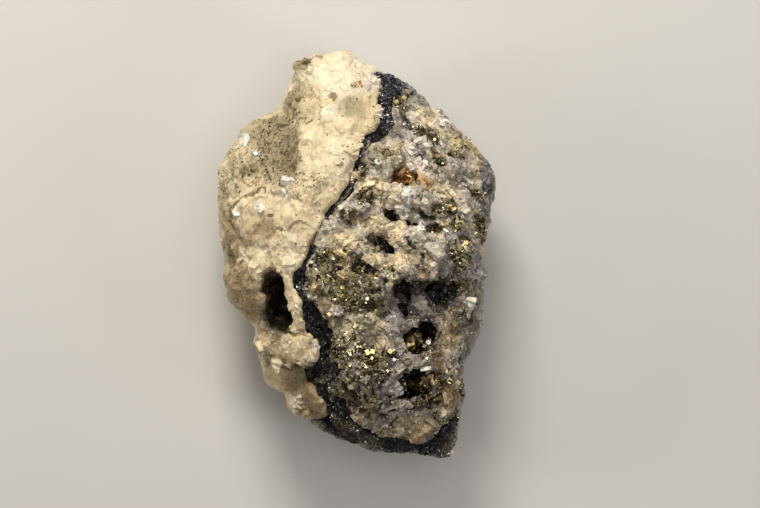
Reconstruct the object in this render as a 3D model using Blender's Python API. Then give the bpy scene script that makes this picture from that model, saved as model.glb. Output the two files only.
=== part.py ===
"""A hand specimen of dolomite with pyrite on quartz, lying on its broken back.

Three grown-together minerals make the stone: the pale dolomite mass, the quartz and pyrite
matrix, and the thin dark sulphide seam between them. Four hollows of the matrix hold a crust of
crystals each. The show face looks up, along +Z, and the stone's long way is Y.

Shapes are worked out in millimetres and scaled to metres at the end.
"""

import math
import random

import bmesh
import bpy
import numpy as np
from mathutils import Matrix, Vector

# The stone, in millimetres
THICKNESS = 55.0
GIRTH_HEIGHT = 25.0
THINNEST_BACK = 4.0
FRONT_BRIM = 9.0
BACK_BRIM = 10.0
KERF = 0.36
STONE_TOP = 80.0
CONTACT_TURN_START = 33.0
BACK_TWIST = math.radians(-20.0)
BACK_SHIFT = (0.0, -7.0)

# How the section swells from the outline: the least share of its height, and the curve's power
FRONT_SWELL = (0.16, 2.0)
BACK_SWELL = (0.14, 1.5)
FRONT_ROUNDING = 0.5
BACK_ROUNDING = 0.3
UPPER_START = 2.0
UPPER_WIDTH = 9.0

# Rough breaks: height, size and seed; the large ones are only on the sides and back
CRAGS = [(2.6, 9.5, 11), (1.7, 5.2, 12)]
SIDE_CRAGS = (4.5, 24.0, 13)
SIDE_ROUGHNESS = 0.8
REST_FLATTENED = 1.1
REST_CUT = 0.35

# How finely the stone is carved, and how few faces are kept
SLAB_GRAIN = 1.3
CARVING_GRAIN = 0.85
STONE_FACES = 2850

# The crusts of the pockets: their crystals, wall and room, and how far they lie under the skin
CRUST_CRYSTALS = 9
CRUST_CRYSTAL_WIDTHS = (1.5, 2.7)
CRUST_GAP = 0.35
CRUST_WALL = 1.6
CRUST_DEPTH = 1.8
GOLDEN_ANGLE = 2.399963

METRES = 0.001

# The outline of the show face, from the top knob clockwise
OUTLINE = [
    (-2, 60), (0, 57), (4.5, 54), (10, 53), (16, 50.5), (18.5, 47.5), (24, 42), (29.5, 37.5),
    (35, 33.2), (36, 31), (38.5, 27.8), (41, 22.5), (40.8, 15), (39, 7.5), (37, -1.5),
    (37.7, -5.5), (36.4, -8), (37.5, -12), (36, -21.5), (34, -28), (31.5, -34), (32, -44),
    (29.5, -54.5), (29, -59.5), (27.5, -60), (14.5, -58.6), (4, -58.4), (-5, -55), (-11, -51),
    (-15.5, -47.2), (-17.5, -47.5), (-19.5, -46), (-20.5, -43), (-18.8, -41.2), (-23, -40),
    (-26.5, -37.5), (-28.8, -32), (-30, -26), (-29.2, -21), (-33, -18), (-36.5, -13.5),
    (-38.6, -5.5), (-37.8, -3), (-38.2, 0), (-40, 8), (-40.6, 18.5), (-40.2, 25.5), (-36, 32.5),
    (-33, 36.5), (-29, 40), (-21.6, 42.2), (-21.2, 46.3), (-18.2, 48.5), (-19.6, 53), (-18, 57),
    (-15.5, 58.2), (-11, 58.8), (-6.5, 58.8),
]

# Where the dolomite meets the seam, and where the seam meets the matrix, from top to bottom
DOLOMITE_EDGE = [
    (2.5, 63), (4.5, 54), (6.5, 52), (7.8, 48.5), (6.4, 46), (6.8, 43), (7.8, 41.2), (6, 36),
    (3.2, 34), (1, 31), (-0.4, 26), (-0.9, 23), (-3, 19), (-5.8, 15), (-8.3, 12), (-9.8, 9),
    (-11.2, 6), (-13, 3), (-14, 0), (-15.6, -3), (-18.2, -5.5), (-18.4, -8), (-17, -11.5),
    (-15.2, -14), (-15.2, -19), (-14.2, -21.8), (-12, -23.5), (-10.2, -26), (-10.4, -29),
    (-11.4, -31.5), (-15, -33), (-13.5, -37), (-11, -40), (-8.6, -44), (-8.2, -47.2),
    (-11.5, -48.8), (-14.5, -46.9), (-19, -54),
]
MATRIX_EDGE = [
    (23, 56), (17, 49.5), (13, 47.8), (11, 46), (10.5, 41.5), (11, 38), (9, 34), (5, 32.3),
    (2.2, 29.5), (0.9, 25.5), (0.4, 22.3), (-1.4, 18), (-4.2, 14), (-6.7, 11), (-8.4, 8),
    (-9.6, 5.3), (-11.2, 2), (-12.2, -1), (-13.7, -3.7), (-14.6, -7), (-15.4, -11),
    (-13, -14), (-10.5, -17), (-7.5, -20), (-6.4, -23.5), (-7, -27.5), (-7.4, -30.5),
    (-4, -33), (-4.6, -36), (-5.8, -39), (-3, -43), (-1, -47.5), (2, -51), (7, -53.4),
    (12, -53.2), (16, -55.3), (20, -55.4), (23, -53.4), (26.5, -49.4), (29, -48), (40, -48),
]

# Broken faces of the show side: a slope starts at a distance along its bearing and falls away
# columns: bearing x, bearing y, height at the start, distance of the start, fall per millimetre
FRONT_SLOPES = [
    (0.0, 1.0, 53.5, -60.0, 0.0),
    (0.64, 0.77, 53.5, 27.0, 0.85),
    (0.98, -0.15, 53.5, 23.0, 1.05),
    (0.80, -0.60, 52.5, 33.0, 0.8),
    (-0.35, -0.94, 52.5, 33.0, 0.8),
    (-1.0, 0.05, 50.5, 22.0, 0.62),
    (-0.85, -0.53, 50.0, 22.0, 0.66),
    (-0.30, 0.95, 52.0, 41.0, 0.75),
    (-0.82, 0.57, 50.5, 28.0, 0.6),
    (0.85, 0.53, 55.0, 12.0, 0.12),
]
# Broken faces of the back, given the same way: heights rise from the flat that it lies on
BACK_SLOPES = [
    (0.0, 1.0, 0.0, -60.0, 0.0),
    (0.97, 0.24, 0.0, 17.0, 1.00),
    (0.60, 0.80, 0.0, 27.0, 0.85),
    (0.90, -0.43, 0.0, 24.0, 0.75),
    (0.10, -0.99, 0.0, 30.0, 0.80),
    (-0.95, -0.31, 0.0, 18.0, 0.95),
    (-0.80, 0.60, 0.0, 24.0, 0.80),
    (-0.20, 0.98, 0.0, 30.0, 0.85),
]

# Raised and sunk fields of the show face: outline, height, width of the slope round it
BOWL = [
    (-21.4, 41.8), (-16.6, 40.5), (-16.9, 30.5), (-17.5, 24), (-21.4, 21.4), (-27, 19.9),
    (-32.9, 16.7), (-37.9, 14.6), (-41.4, 15.8), (-42, 21.7), (-39.6, 30.5), (-34.3, 37),
    (-27.9, 41.7),
]
SPUR_STEP = [(-21.7, 48.2), (-15.2, 47.6), (-13.7, 45.3), (-16.7, 41.7), (-21.7, 41.4)]
FIELDS = [
    (SPUR_STEP, -1.8, 1.4),
    ([(-29, -24.5), (-24, -23.8), (-16.7, -22.6), (-11.4, -25), (-10.5, -31), (-15.2, -31.7),
      (-19.6, -31.7), (-23.2, -29), (-28, -27)], 2.6, 1.6),
    ([(-27, -32.3), (-21, -31.5), (-15.2, -32.6), (-13.2, -37.3), (-16.7, -40.8),
      (-21, -39.5), (-26.4, -37.3)], -3.2, 1.8),
    ([(-18.9, -13), (-15.4, -13.6), (-15.2, -21.8), (-17.6, -21.6)], 1.6, 0.8),
    ([(-25.5, -30.5), (-21.8, -31), (-20.6, -34.4), (-23.4, -33.4)], 2.6, 0.8),
    ([(-20, -41.5), (-16.5, -40.5), (-13.5, -43.5), (-16, -47), (-19.6, -46.5)], 1.8, 1.2),
    ([(-7.8, 6.4), (-1.3, 5.2), (4.6, 7.5), (11.4, 5.5), (18.7, 5.5), (24.6, 2.5), (24.6, -6.3),
      (17.2, -8.1), (12.2, -7.5), (7, -4.3), (1.6, -1.3), (-3.4, 2.2)], 2.4, 1.3),
    ([(10, 19.5), (14, 20.4), (22, 19), (24.4, 15.5), (21, 12.6), (14, 12.4), (9.6, 15)],
     1.8, 1.2),
    ([(12, -8), (17.2, -8.7), (24.6, -7.2), (29.2, -7.8), (31, -11.4), (28.6, -15.3),
      (22.7, -18.4), (14.3, -18.6), (10.8, -16.2), (9.9, -11.6)], -6.8, 1.2),
    ([(12.6, -13.0), (17.5, -12.4), (20, -15.3), (17.6, -18), (13, -17.4)], 2.2, 1.2),
    ([(4.5, -39.6), (11, -33), (21.5, -28.4), (22.6, -30.4), (13, -35.6), (6.6, -41.6)],
     1.7, 1.2),
    ([(-6, 11), (1, 17.5), (9, 18), (10.5, 10), (5, 6.8), (-3.5, 6.4)], -1.2, 2.0),
    ([(12.6, 45), (17, 42), (26.5, 34.5), (33.5, 28.5), (31, 26.2), (22, 31.5), (14, 38)],
     1.4, 1.6),
    ([(4.6, 21.5), (10.2, 33.5), (20.5, 17.8), (24.2, 13.2), (21.6, 12.2), (16.5, 19.4),
      (11.8, 26.2)], 0.9, 1.2),
    ([(-4, -43), (3, -45), (12, -51.5), (22.5, -49), (25.5, -44), (14, -42.5), (3, -38.5)],
     -1.6, 2.4),
]

# Smooth swells and dips: place, half widths, turn in degrees, height
SWELLS = [
    (-11.0, 52.0, 9.0, 6.0, 10.0, 1.6),
    (-3.0, 43.0, 8.0, 9.0, -20.0, 1.2),
    (-8.0, 24.0, 8.0, 14.0, -25.0, 1.8),
    (-27.0, 9.0, 11.0, 10.0, 0.0, 1.6),
    (-25.5, 7.0, 3.5, 4.0, 0.0, -1.1),
    (-36.5, 2.0, 3.0, 12.0, 8.0, -1.6),
    (-26.5, -15.5, 6.5, 8.5, 10.0, -3.6),
    (-6.0, 39.0, 3.0, 2.2, 0.0, -0.9),
    (-6.5, 45.5, 1.6, 1.4, 0.0, -0.8),
    (-21.0, -36.0, 4.0, 2.4, -15.0, 1.6),
    (9.0, -11.0, 12.0, 14.0, 0.0, 1.5),
    (-1.0, -9.0, 9.0, 8.0, -30.0, 1.7),
    (2.0, -27.0, 8.0, 7.0, 0.0, 1.3),
    (29.0, 19.5, 5.0, 3.4, -15.0, -1.9),
    (29.5, -26.0, 4.0, 12.0, 10.0, 1.5),
    (26.0, -38.0, 5.0, 7.0, 0.0, 1.2),
    (15.5, 8.9, 2.2, 2.0, 0.0, -2.0),
    (22.0, 8.0, 3.0, 1.6, 0.0, -1.8),
    (9.2, 11.7, 1.7, 1.5, 0.0, -1.5),
    (0.6, -4.0, 2.4, 1.8, 0.0, -1.6),
    (5.2, -10.0, 2.2, 1.7, 10.0, -1.8),
    (16.0, 38.0, 1.4, 5.0, 25.0, -1.2),
    (8.5, -46.0, 3.4, 3.4, 0.0, 0.9),
]

OPENING_HEIGHT = 7.0
HOLLOW_LUMPS = 0.26

# Hollows cut below the skin: place, half widths and depth, turn, lean sideways and along
CAVITY_LOBES = [
    ((-24.3, -8.7), (4.5, 4.8, 16.0), 10.0, (0.10, -0.20)),
    ((-22.4, -16.9), (5.6, 7.0, 18.5), 8.0, (0.15, 0.05)),
]
# Hollows of the matrix that a crust lines, and small bare ones: place, half widths, depth, turn
POCKETS = {
    "pyrite_crust_upper_pocket": ((14.0, 22.4), (4.6, 3.2, 6.5), -8.0),
    "pyrite_crust_middle_pocket": ((18.3, -24.6), (4.6, 5.2, 9.5), -30.0),
    "pyrite_crust_lower_pocket": ((17.2, -38.4), (6.4, 4.8, 9.5), 35.0),
    "dark_crust_side_pocket": ((24.2, -11.6), (5.0, 3.0, 7.5), 12.0),
}
BARE_POCKETS = [
    ((8.0, 1.9), (3.3, 1.9, 7.0), -35.0),
    ((14.0, -10.8), (2.1, 2.7, 5.5), 5.0),
    ((13.7, -16.9), (1.8, 2.0, 5.0), 20.0),
    ((9.9, 11.5), (1.9, 1.2, 5.0), -20.0),
    ((15.9, 8.5), (1.7, 1.1, 4.5), -20.0),
]

# Crystals fused to the matrix: place and width of each pyrite
PYRITES = [
    (6.0, 26.7, 2.8), (1.9, 24.0, 2.4), (2.9, 17.0, 2.6), (-2.8, 12.0, 2.4), (-7.6, 8.8, 2.6),
    (-3.4, -0.2, 3.2), (-3.2, -6.6, 3.0), (4.4, -28.2, 2.8), (-0.8, -37.2, 2.5),
    (23.6, 26.6, 2.8), (19.0, 35.6, 3.2), (12.8, 44.2, 2.9), (29.0, 12.9, 3.2),
    (26.4, 13.9, 2.7), (30.4, 2.6, 2.9), (33.6, 2.0, 2.6), (30.0, -3.6, 2.8), (31.0, -17.4, 2.6),
    (27.4, -36.8, 2.6), (-5.8, -27.6, 2.2), (4.8, -42.6, 2.4), (9.4, 11.9, 2.4),
    (-8.6, -13.4, 2.4), (-2.4, -15.2, 2.5), (3.6, -18.4, 2.4), (8.8, -21.6, 2.4),
    (20.6, -51.5, 2.4), (16.0, 31.0, 2.3), (12.4, -51.0, 2.6),
]
# Quartz points: place, width, length and compass bearing in degrees
QUARTZ_POINTS = [
    (11.5, -39.2, 2.4, 3.6, 200.0), (13.6, -43.8, 2.2, 3.6, 250.0), (16.6, -45.2, 2.2, 3.2, 265.0),
    (19.6, -33.8, 2.2, 3.2, 75.0), (33.0, -14.4, 2.6, 3.6, 60.0), (20.5, 15.8, 3.4, 3.6, 120.0),
    (15.2, 17.0, 3.4, 3.8, 80.0), (19.8, -1.6, 3.2, 3.6, 285.0), (23.2, 0.8, 2.8, 3.4, 320.0),
    (6.2, 18.6, 2.8, 3.2, 100.0), (14.9, -4.8, 3.0, 3.4, 250.0),
]
# Dolomite rhombs along the broken rim: place, width, bearing in degrees
RHOMBS = [
    (6.6, 48.4, 2.6, 20.0), (4.4, 50.8, 2.4, 40.0), (5.8, 41.0, 2.8, 10.0), (4.0, 36.6, 2.4, 55.0),
    (-16.0, 55.0, 2.8, 30.0), (-2.6, 56.0, 3.4, 25.0), (-18.4, 45.4, 2.6, 60.0),
    (-33.8, 29.6, 2.6, 70.0), (-20.6, 20.6, 2.8, 15.0), (-22.8, 18.6, 2.4, 50.0),
    (-35.0, 12.4, 2.4, 20.0), (-13.6, -29.6, 2.6, 30.0), (-16.6, -12.6, 2.3, 5.0),
    (-22.4, -32.6, 2.4, 75.0), (-16.8, -44.4, 3.0, 15.0), (-25.4, -34.6, 2.6, 10.0),
]


def remove_everything():
    for obj in list(bpy.data.objects):
        bpy.data.objects.remove(obj)


def material(name, colour, roughness, metallic=0.0):
    made = bpy.data.materials.new(name)
    made.use_nodes = True
    shader = made.node_tree.nodes["Principled BSDF"]
    shader.inputs["Base Color"].default_value = (*colour, 1.0)
    shader.inputs["Roughness"].default_value = roughness
    shader.inputs["Metallic"].default_value = metallic
    return made


def smooth_step(value):
    value = np.clip(value, 0.0, 1.0)
    return value * value * (3.0 - 2.0 * value)


def soft_least(values, softness):
    """The least of several surfaces, with the corner between them rounded by softness."""
    values = np.array(values)
    least = values.min(axis=0)
    return least - softness * np.log(np.exp((least - values) / softness).sum(axis=0))


def distance_to_line(points, line):
    """Distance in plan from each point to an open chain of corners."""
    line = np.array(line, float)
    nearest = np.full(len(points), 1e9)
    for start, end in zip(line[:-1], line[1:]):
        along = end - start
        share = np.clip((points - start) @ along / (along @ along), 0.0, 1.0)
        offset = points - (start + share[:, None] * along)
        nearest = np.minimum(nearest, np.hypot(offset[:, 0], offset[:, 1]))
    return nearest


def depth_inside(points, polygon):
    """Distance in plan to a closed outline: positive inside it, negative outside."""
    corners = np.array(polygon, float)
    inside = np.zeros(len(points), bool)
    x, y = points[:, 0], points[:, 1]
    for (x0, y0), (x1, y1) in zip(corners, np.roll(corners, -1, axis=0)):
        if y0 == y1:
            continue
        crosses = (y0 > y) != (y1 > y)
        inside ^= crosses & (x < (x1 - x0) * (y - y0) / (y1 - y0) + x0)
    distance = distance_to_line(points, np.vstack([corners, corners[:1]]))
    return np.where(inside, distance, -distance)


def side_region(edge, far_x):
    """The plan area between an edge line and a far side of the stone."""
    return edge + [(far_x, edge[-1][1] - 20.0), (far_x, edge[0][1] + 20.0)]


DOLOMITE_AREA = side_region(DOLOMITE_EDGE, -70.0)
MATRIX_AREA = side_region(MATRIX_EDGE, 70.0)


def broken_facets(points, size, seed):
    """Rough breaks: space falls into irregular cells, and each has its own tilted level."""
    rng = np.random.default_rng(seed)
    table = rng.random((4096, 7))
    base = np.floor(points / size).astype(int)
    nearest = np.full(len(points), 1e9)
    height = np.zeros(len(points))
    for dx in (-1, 0, 1):
        for dy in (-1, 0, 1):
            for dz in (-1, 0, 1):
                cell = base + (dx, dy, dz)
                key = (cell[:, 0] * 73 + cell[:, 1] * 937 + cell[:, 2] * 3571) % 4096
                seedling = table[key]
                centre = (cell + seedling[:, :3]) * size
                offset = points - centre
                distance = (offset**2).sum(axis=1)
                tilt = (offset * (seedling[:, 3:6] - 0.5)).sum(axis=1) / size
                closer = distance < nearest
                nearest = np.where(closer, distance, nearest)
                height = np.where(closer, tilt * 1.4 + seedling[:, 6] - 0.5, height)
    return height


def slopes(plan, table, rises):
    """Surfaces of a table of broken faces, falling or rising from where each starts."""
    direction = 1.0 if rises else -1.0
    return [
        height + direction * fall * (plan @ (bx, by) - start)
        for bx, by, height, start, fall in table
    ]


def brim(depth, width, least, power):
    """How far the section has swelled at a distance from the outline: least at it, 1 inside."""
    share = np.clip(1.0 - depth / width, 0.0, 1.0)
    return least + (1.0 - least) * (1.0 - share**power) ** (1.0 / power)


def front_relief(plan):
    """Heights that the three minerals add to the show face."""
    dolomite = smooth_step(depth_inside(plan, DOLOMITE_AREA) / 1.0 + 0.5)
    matrix = smooth_step(depth_inside(plan, MATRIX_AREA) / 1.6 + 0.5)
    seam = 1.0 - np.maximum(dolomite, matrix)
    relief = 1.6 * dolomite - 1.9 * seam
    for outline, height, slope in FIELDS:
        relief += height * smooth_step(depth_inside(plan, outline) / slope + 0.5)
    deeper = smooth_step((plan[:, 0] + 38.0) / 20.0)
    relief -= (2.4 + 4.0 * deeper) * smooth_step(depth_inside(plan, BOWL) / 1.0 + 0.5)
    for x, y, half_x, half_y, turn, height in SWELLS:
        angle = math.radians(turn)
        offset = plan - (x, y)
        along = offset @ (math.cos(angle), math.sin(angle)) / half_x
        across = offset @ (-math.sin(angle), math.cos(angle)) / half_y
        relief += height * np.exp(-1.4 * (along**2 + across**2))
    return relief


def roughness_of(plan):
    """How craggy the show face is: strong on the matrix and seam, gentle on the dolomite."""
    return 1.0 - 0.5 * smooth_step(depth_inside(plan, DOLOMITE_AREA) / 2.0 + 0.3)


def object_from(mesh_maker, name):
    mesh = bpy.data.meshes.new(name)
    shape = bmesh.new()
    mesh_maker(shape)
    bmesh.ops.recalc_face_normals(shape, faces=shape.faces)
    shape.to_mesh(mesh)
    shape.free()
    obj = bpy.data.objects.new(name, mesh)
    bpy.context.scene.collection.objects.link(obj)
    return obj


def bake_modifiers(obj):
    """Replaces the object's mesh by what its modifiers make of it."""
    graph = bpy.context.evaluated_depsgraph_get()
    baked = bpy.data.meshes.new_from_object(obj.evaluated_get(graph))
    obj.modifiers.clear()
    obj.data = baked


def remesh(obj, grain):
    modifier = obj.modifiers.new("grain", "REMESH")
    modifier.mode = "VOXEL"
    modifier.voxel_size = grain
    bake_modifiers(obj)


def combine(obj, other, operation, overlapping=False):
    """Cuts, joins or trims obj with another solid, which is then thrown away."""
    modifier = obj.modifiers.new(operation, "BOOLEAN")
    modifier.operation = operation
    modifier.object = other
    modifier.solver = "EXACT"
    modifier.use_self = overlapping
    bake_modifiers(obj)
    bpy.data.objects.remove(other)


def keep_largest_piece(obj):
    """Drops the crumbs that a cut leaves loose."""
    shape = bmesh.new()
    shape.from_mesh(obj.data)
    unseen = set(shape.verts)
    pieces = []
    while unseen:
        piece = set()
        front = [next(iter(unseen))]
        while front:
            vert = front.pop()
            if vert in piece:
                continue
            piece.add(vert)
            front.extend(edge.other_vert(vert) for edge in vert.link_edges)
        unseen -= piece
        pieces.append(piece)
    pieces.sort(key=len)
    for crumb in pieces[:-1]:
        bmesh.ops.delete(shape, geom=list(crumb), context="VERTS")
    shape.to_mesh(obj.data)
    shape.free()


def coordinates(obj):
    flat = np.empty(len(obj.data.vertices) * 3)
    obj.data.vertices.foreach_get("co", flat)
    return flat.reshape(-1, 3)


def move_vertices(obj, points):
    obj.data.vertices.foreach_set("co", points.ravel())
    obj.data.update()


def stone_slab(shape):
    """The outline raised to the stone's thickness, before it is carved."""
    floor = [shape.verts.new((x, y, 0.0)) for x, y in OUTLINE]
    face = shape.faces.new(floor)
    raised = bmesh.ops.extrude_face_region(shape, geom=[face])
    top = [item for item in raised["geom"] if isinstance(item, bmesh.types.BMVert)]
    bmesh.ops.translate(shape, verts=top, vec=(0.0, 0.0, THICKNESS))
    bmesh.ops.triangulate(shape, faces=shape.faces)


def carve_stone():
    """The whole stone: the slab swelled into its section, then broken, roughened and thinned."""
    stone = object_from(stone_slab, "stone")
    remesh(stone, SLAB_GRAIN)
    points = coordinates(stone)
    plan = points[:, :2]
    depth = np.maximum(depth_inside(plan, OUTLINE), 0.0)
    front = soft_least(slopes(plan, FRONT_SLOPES, False), FRONT_ROUNDING)
    back = [-height for height in slopes(plan, BACK_SLOPES, True)]
    back = np.clip(-soft_least(back, BACK_ROUNDING), 0.0, GIRTH_HEIGHT - THINNEST_BACK)
    front_rise = (front - GIRTH_HEIGHT) * brim(depth, FRONT_BRIM, *FRONT_SWELL)
    back_drop = (GIRTH_HEIGHT - back) * brim(depth, BACK_BRIM, *BACK_SWELL)
    share = points[:, 2] / THICKNESS * 2.0 - 1.0
    rise = np.where(share > 0.0, share * front_rise, share * back_drop)
    points[:, 2] = GIRTH_HEIGHT + rise
    move_vertices(stone, points)
    remesh(stone, CARVING_GRAIN)
    points = coordinates(stone)
    plan = points[:, :2]
    upper = smooth_step((points[:, 2] - GIRTH_HEIGHT - UPPER_START) / UPPER_WIDTH)
    points[:, 2] += front_relief(plan) * upper
    crags = sum(height * broken_facets(points, size, seed) for height, size, seed in CRAGS)
    crags *= SIDE_ROUGHNESS + (roughness_of(plan) - SIDE_ROUGHNESS) * upper
    height, size, seed = SIDE_CRAGS
    crags += height * broken_facets(points, size, seed) * (1.0 - upper)
    normals = np.empty(len(points) * 3)
    stone.data.vertices.foreach_get("normal", normals)
    normals = normals.reshape(-1, 3)
    inset = smooth_step(depth_inside(plan, OUTLINE) / 2.5 + 0.35)
    points += normals * (crags * inset)[:, None]
    points[:, 2] = np.where(points[:, 2] < REST_FLATTENED, 0.0, points[:, 2])
    move_vertices(stone, points)
    remesh(stone, CARVING_GRAIN)
    thin = stone.modifiers.new("fewer faces", "DECIMATE")
    thin.ratio = STONE_FACES / (2.0 * len(stone.data.vertices))
    thin.use_collapse_triangulate = True
    bake_modifiers(stone)
    return stone


def cut_flat_back(stone):
    """Slices the stone level at its lowest break, which is the face it rests on."""
    shape = bmesh.new()
    shape.from_mesh(stone.data)
    cut = bmesh.ops.bisect_plane(
        shape,
        geom=[*shape.verts, *shape.edges, *shape.faces],
        plane_co=(0.0, 0.0, REST_CUT),
        plane_no=(0.0, 0.0, -1.0),
        clear_outer=True,
    )
    rim = [item for item in cut["geom_cut"] if isinstance(item, bmesh.types.BMEdge)]
    bmesh.ops.holes_fill(shape, edges=rim, sides=0)
    bmesh.ops.triangulate(shape, faces=[face for face in shape.faces if len(face.verts) > 3])
    bmesh.ops.recalc_face_normals(shape, faces=shape.faces)
    bmesh.ops.translate(shape, verts=shape.verts, vec=(0.0, 0.0, -REST_CUT))
    shape.to_mesh(stone.data)
    shape.free()


def surface_height(stone, x, y):
    """Height of the stone's show face at a place in plan."""
    hit, place, _, _ = stone.ray_cast(Vector((x, y, 90.0)), Vector((0.0, 0.0, -1.0)))
    return place.z if hit else GIRTH_HEIGHT


def surface_normal(stone, x, y):
    hit, _, normal, _ = stone.ray_cast(Vector((x, y, 90.0)), Vector((0.0, 0.0, -1.0)))
    return normal if hit else Vector((0.0, 0.0, 1.0))


def hollow_cutter(name, place, half_widths, turn, height, lean=(0.0, 0.0), shrink=0.0):
    """A lumpy round hollow, open at the show face and leaning as it goes down."""
    rng = random.Random(name.split(":")[0])
    half_x, half_y, deep = (half - shrink for half in half_widths)

    def body(shape):
        bmesh.ops.create_icosphere(shape, subdivisions=2, radius=1.0)
        for vert in shape.verts:
            lump = 1.0 + HOLLOW_LUMPS * (rng.random() - 0.5)
            up = OPENING_HEIGHT if vert.co.z > 0.0 else deep
            x = vert.co.x * half_x * lump
            y = vert.co.y * half_y * lump
            z = vert.co.z * up * lump
            down = min(z, 0.0)
            vert.co = Vector((x - lean[0] * down, y - lean[1] * down, z))
        bmesh.ops.rotate(
            shape, verts=shape.verts, matrix=Matrix.Rotation(math.radians(turn), 3, "Z")
        )
        bmesh.ops.translate(shape, verts=shape.verts, vec=(place[0], place[1], height))

    return object_from(body, name)


def area_cutter(name, area, retreat):
    """A mineral's plan area as a solid through the stone, turned and shifted towards the back."""
    corners = np.array(area, float)
    before = np.roll(corners, 1, axis=0)
    along = np.roll(corners, -1, axis=0) - before
    along /= np.hypot(along[:, 0], along[:, 1])[:, None]
    area_sign = np.sign((before[:, 0] * corners[:, 1] - corners[:, 0] * before[:, 1]).sum())
    corners += np.stack([-along[:, 1], along[:, 0]], axis=1) * area_sign * retreat
    straight = STONE_TOP - CONTACT_TURN_START
    half_depth = CONTACT_TURN_START / 2.0

    def body(shape):
        rim = [shape.verts.new((x, y, STONE_TOP)) for x, y in corners]
        section = top = shape.faces.new(rim)
        for drop, share in ((straight, 0.0), (half_depth, 0.5), (half_depth + 4.0, 0.62)):
            made = bmesh.ops.extrude_face_region(shape, geom=[section])["geom"]
            verts = [item for item in made if isinstance(item, bmesh.types.BMVert)]
            if section is not top:
                bmesh.ops.delete(shape, geom=[section], context="FACES_ONLY")
            section = next(item for item in made if isinstance(item, bmesh.types.BMFace))
            turn = Matrix.Rotation(BACK_TWIST * share, 3, "Z")
            bmesh.ops.rotate(shape, verts=verts, matrix=turn)
            shift = Vector((*BACK_SHIFT, 0.0)) * share + Vector((0.0, 0.0, -drop))
            bmesh.ops.translate(shape, verts=verts, vec=shift)
        bmesh.ops.triangulate(shape, faces=shape.faces)

    return object_from(body, name)


def copy_of(obj, name):
    twin = obj.copy()
    twin.data = obj.data.copy()
    twin.name = name
    bpy.context.scene.collection.objects.link(twin)
    return twin


def turned_towards(normal, spin, rng, wobble):
    """A turn that sets a crystal's Z along the surface's normal, give or take."""
    tilted = normal + Vector((rng.uniform(-1, 1), rng.uniform(-1, 1), rng.uniform(-1, 1))) * wobble
    stand = tilted.normalized().to_track_quat("Z", "Y").to_matrix()
    return stand @ Matrix.Rotation(spin, 3, "Z")


def add_cube_crystal(shape, place, width, turn):
    made = bmesh.ops.create_cube(shape, size=width)
    bmesh.ops.transform(
        shape, verts=made["verts"], matrix=Matrix.Translation(place) @ turn.to_4x4()
    )


def add_quartz_point(shape, place, width, length, turn):
    """A six-sided prism that closes in a six-sided point."""
    made = bmesh.ops.create_cone(
        shape, segments=6, radius1=width / 2, radius2=width / 2, depth=length, cap_ends=True
    )
    tip = max(
        (face for vert in made["verts"] for face in vert.link_faces if len(face.verts) == 6),
        key=lambda face: face.calc_center_median().z,
    )
    poked = bmesh.ops.poke(shape, faces=[tip], offset=width * 0.55)
    verts = made["verts"] + poked["verts"]
    bmesh.ops.transform(shape, verts=verts, matrix=Matrix.Translation(place) @ turn.to_4x4())


def add_rhomb(shape, place, width, turn):
    """A dolomite rhomb: a cube squashed along one of its long diagonals."""
    made = bmesh.ops.create_cube(shape, size=width)
    squash = Matrix.Scale(0.74, 3, Vector((1.0, 1.0, 1.0)).normalized())
    bmesh.ops.transform(
        shape, verts=made["verts"], matrix=Matrix.Translation(place) @ (turn @ squash).to_4x4()
    )


def matrix_crystals(stone):
    """Pyrite cubes and quartz points that stand out of the matrix, half sunk in it."""
    rng = random.Random(21)

    def body(shape):
        for x, y, width in PYRITES:
            normal = surface_normal(stone, x, y)
            turn = turned_towards(normal, rng.uniform(0.0, math.pi), rng, 0.45)
            place = Vector((x, y, surface_height(stone, x, y))) + normal * width * 0.12
            add_cube_crystal(shape, place, width, turn)
        for x, y, width, length, bearing in QUARTZ_POINTS:
            level = math.radians(bearing)
            normal = surface_normal(stone, x, y)
            aim = normal + Vector((math.cos(level), math.sin(level), 0.0)) * 0.55
            turn = turned_towards(aim, rng.uniform(0.0, 1.0), rng, 0.1)
            place = Vector((x, y, surface_height(stone, x, y)))
            add_quartz_point(shape, place, width, length, turn)

    return object_from(body, "matrix crystals")


def dolomite_crystals(stone):
    rng = random.Random(22)

    def body(shape):
        for x, y, width, bearing in RHOMBS:
            normal = surface_normal(stone, x, y)
            turn = turned_towards(normal, math.radians(bearing), rng, 0.5)
            place = Vector((x, y, surface_height(stone, x, y) - width * 0.1))
            add_rhomb(shape, place, width, turn)

    return object_from(body, "dolomite crystals")


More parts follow.
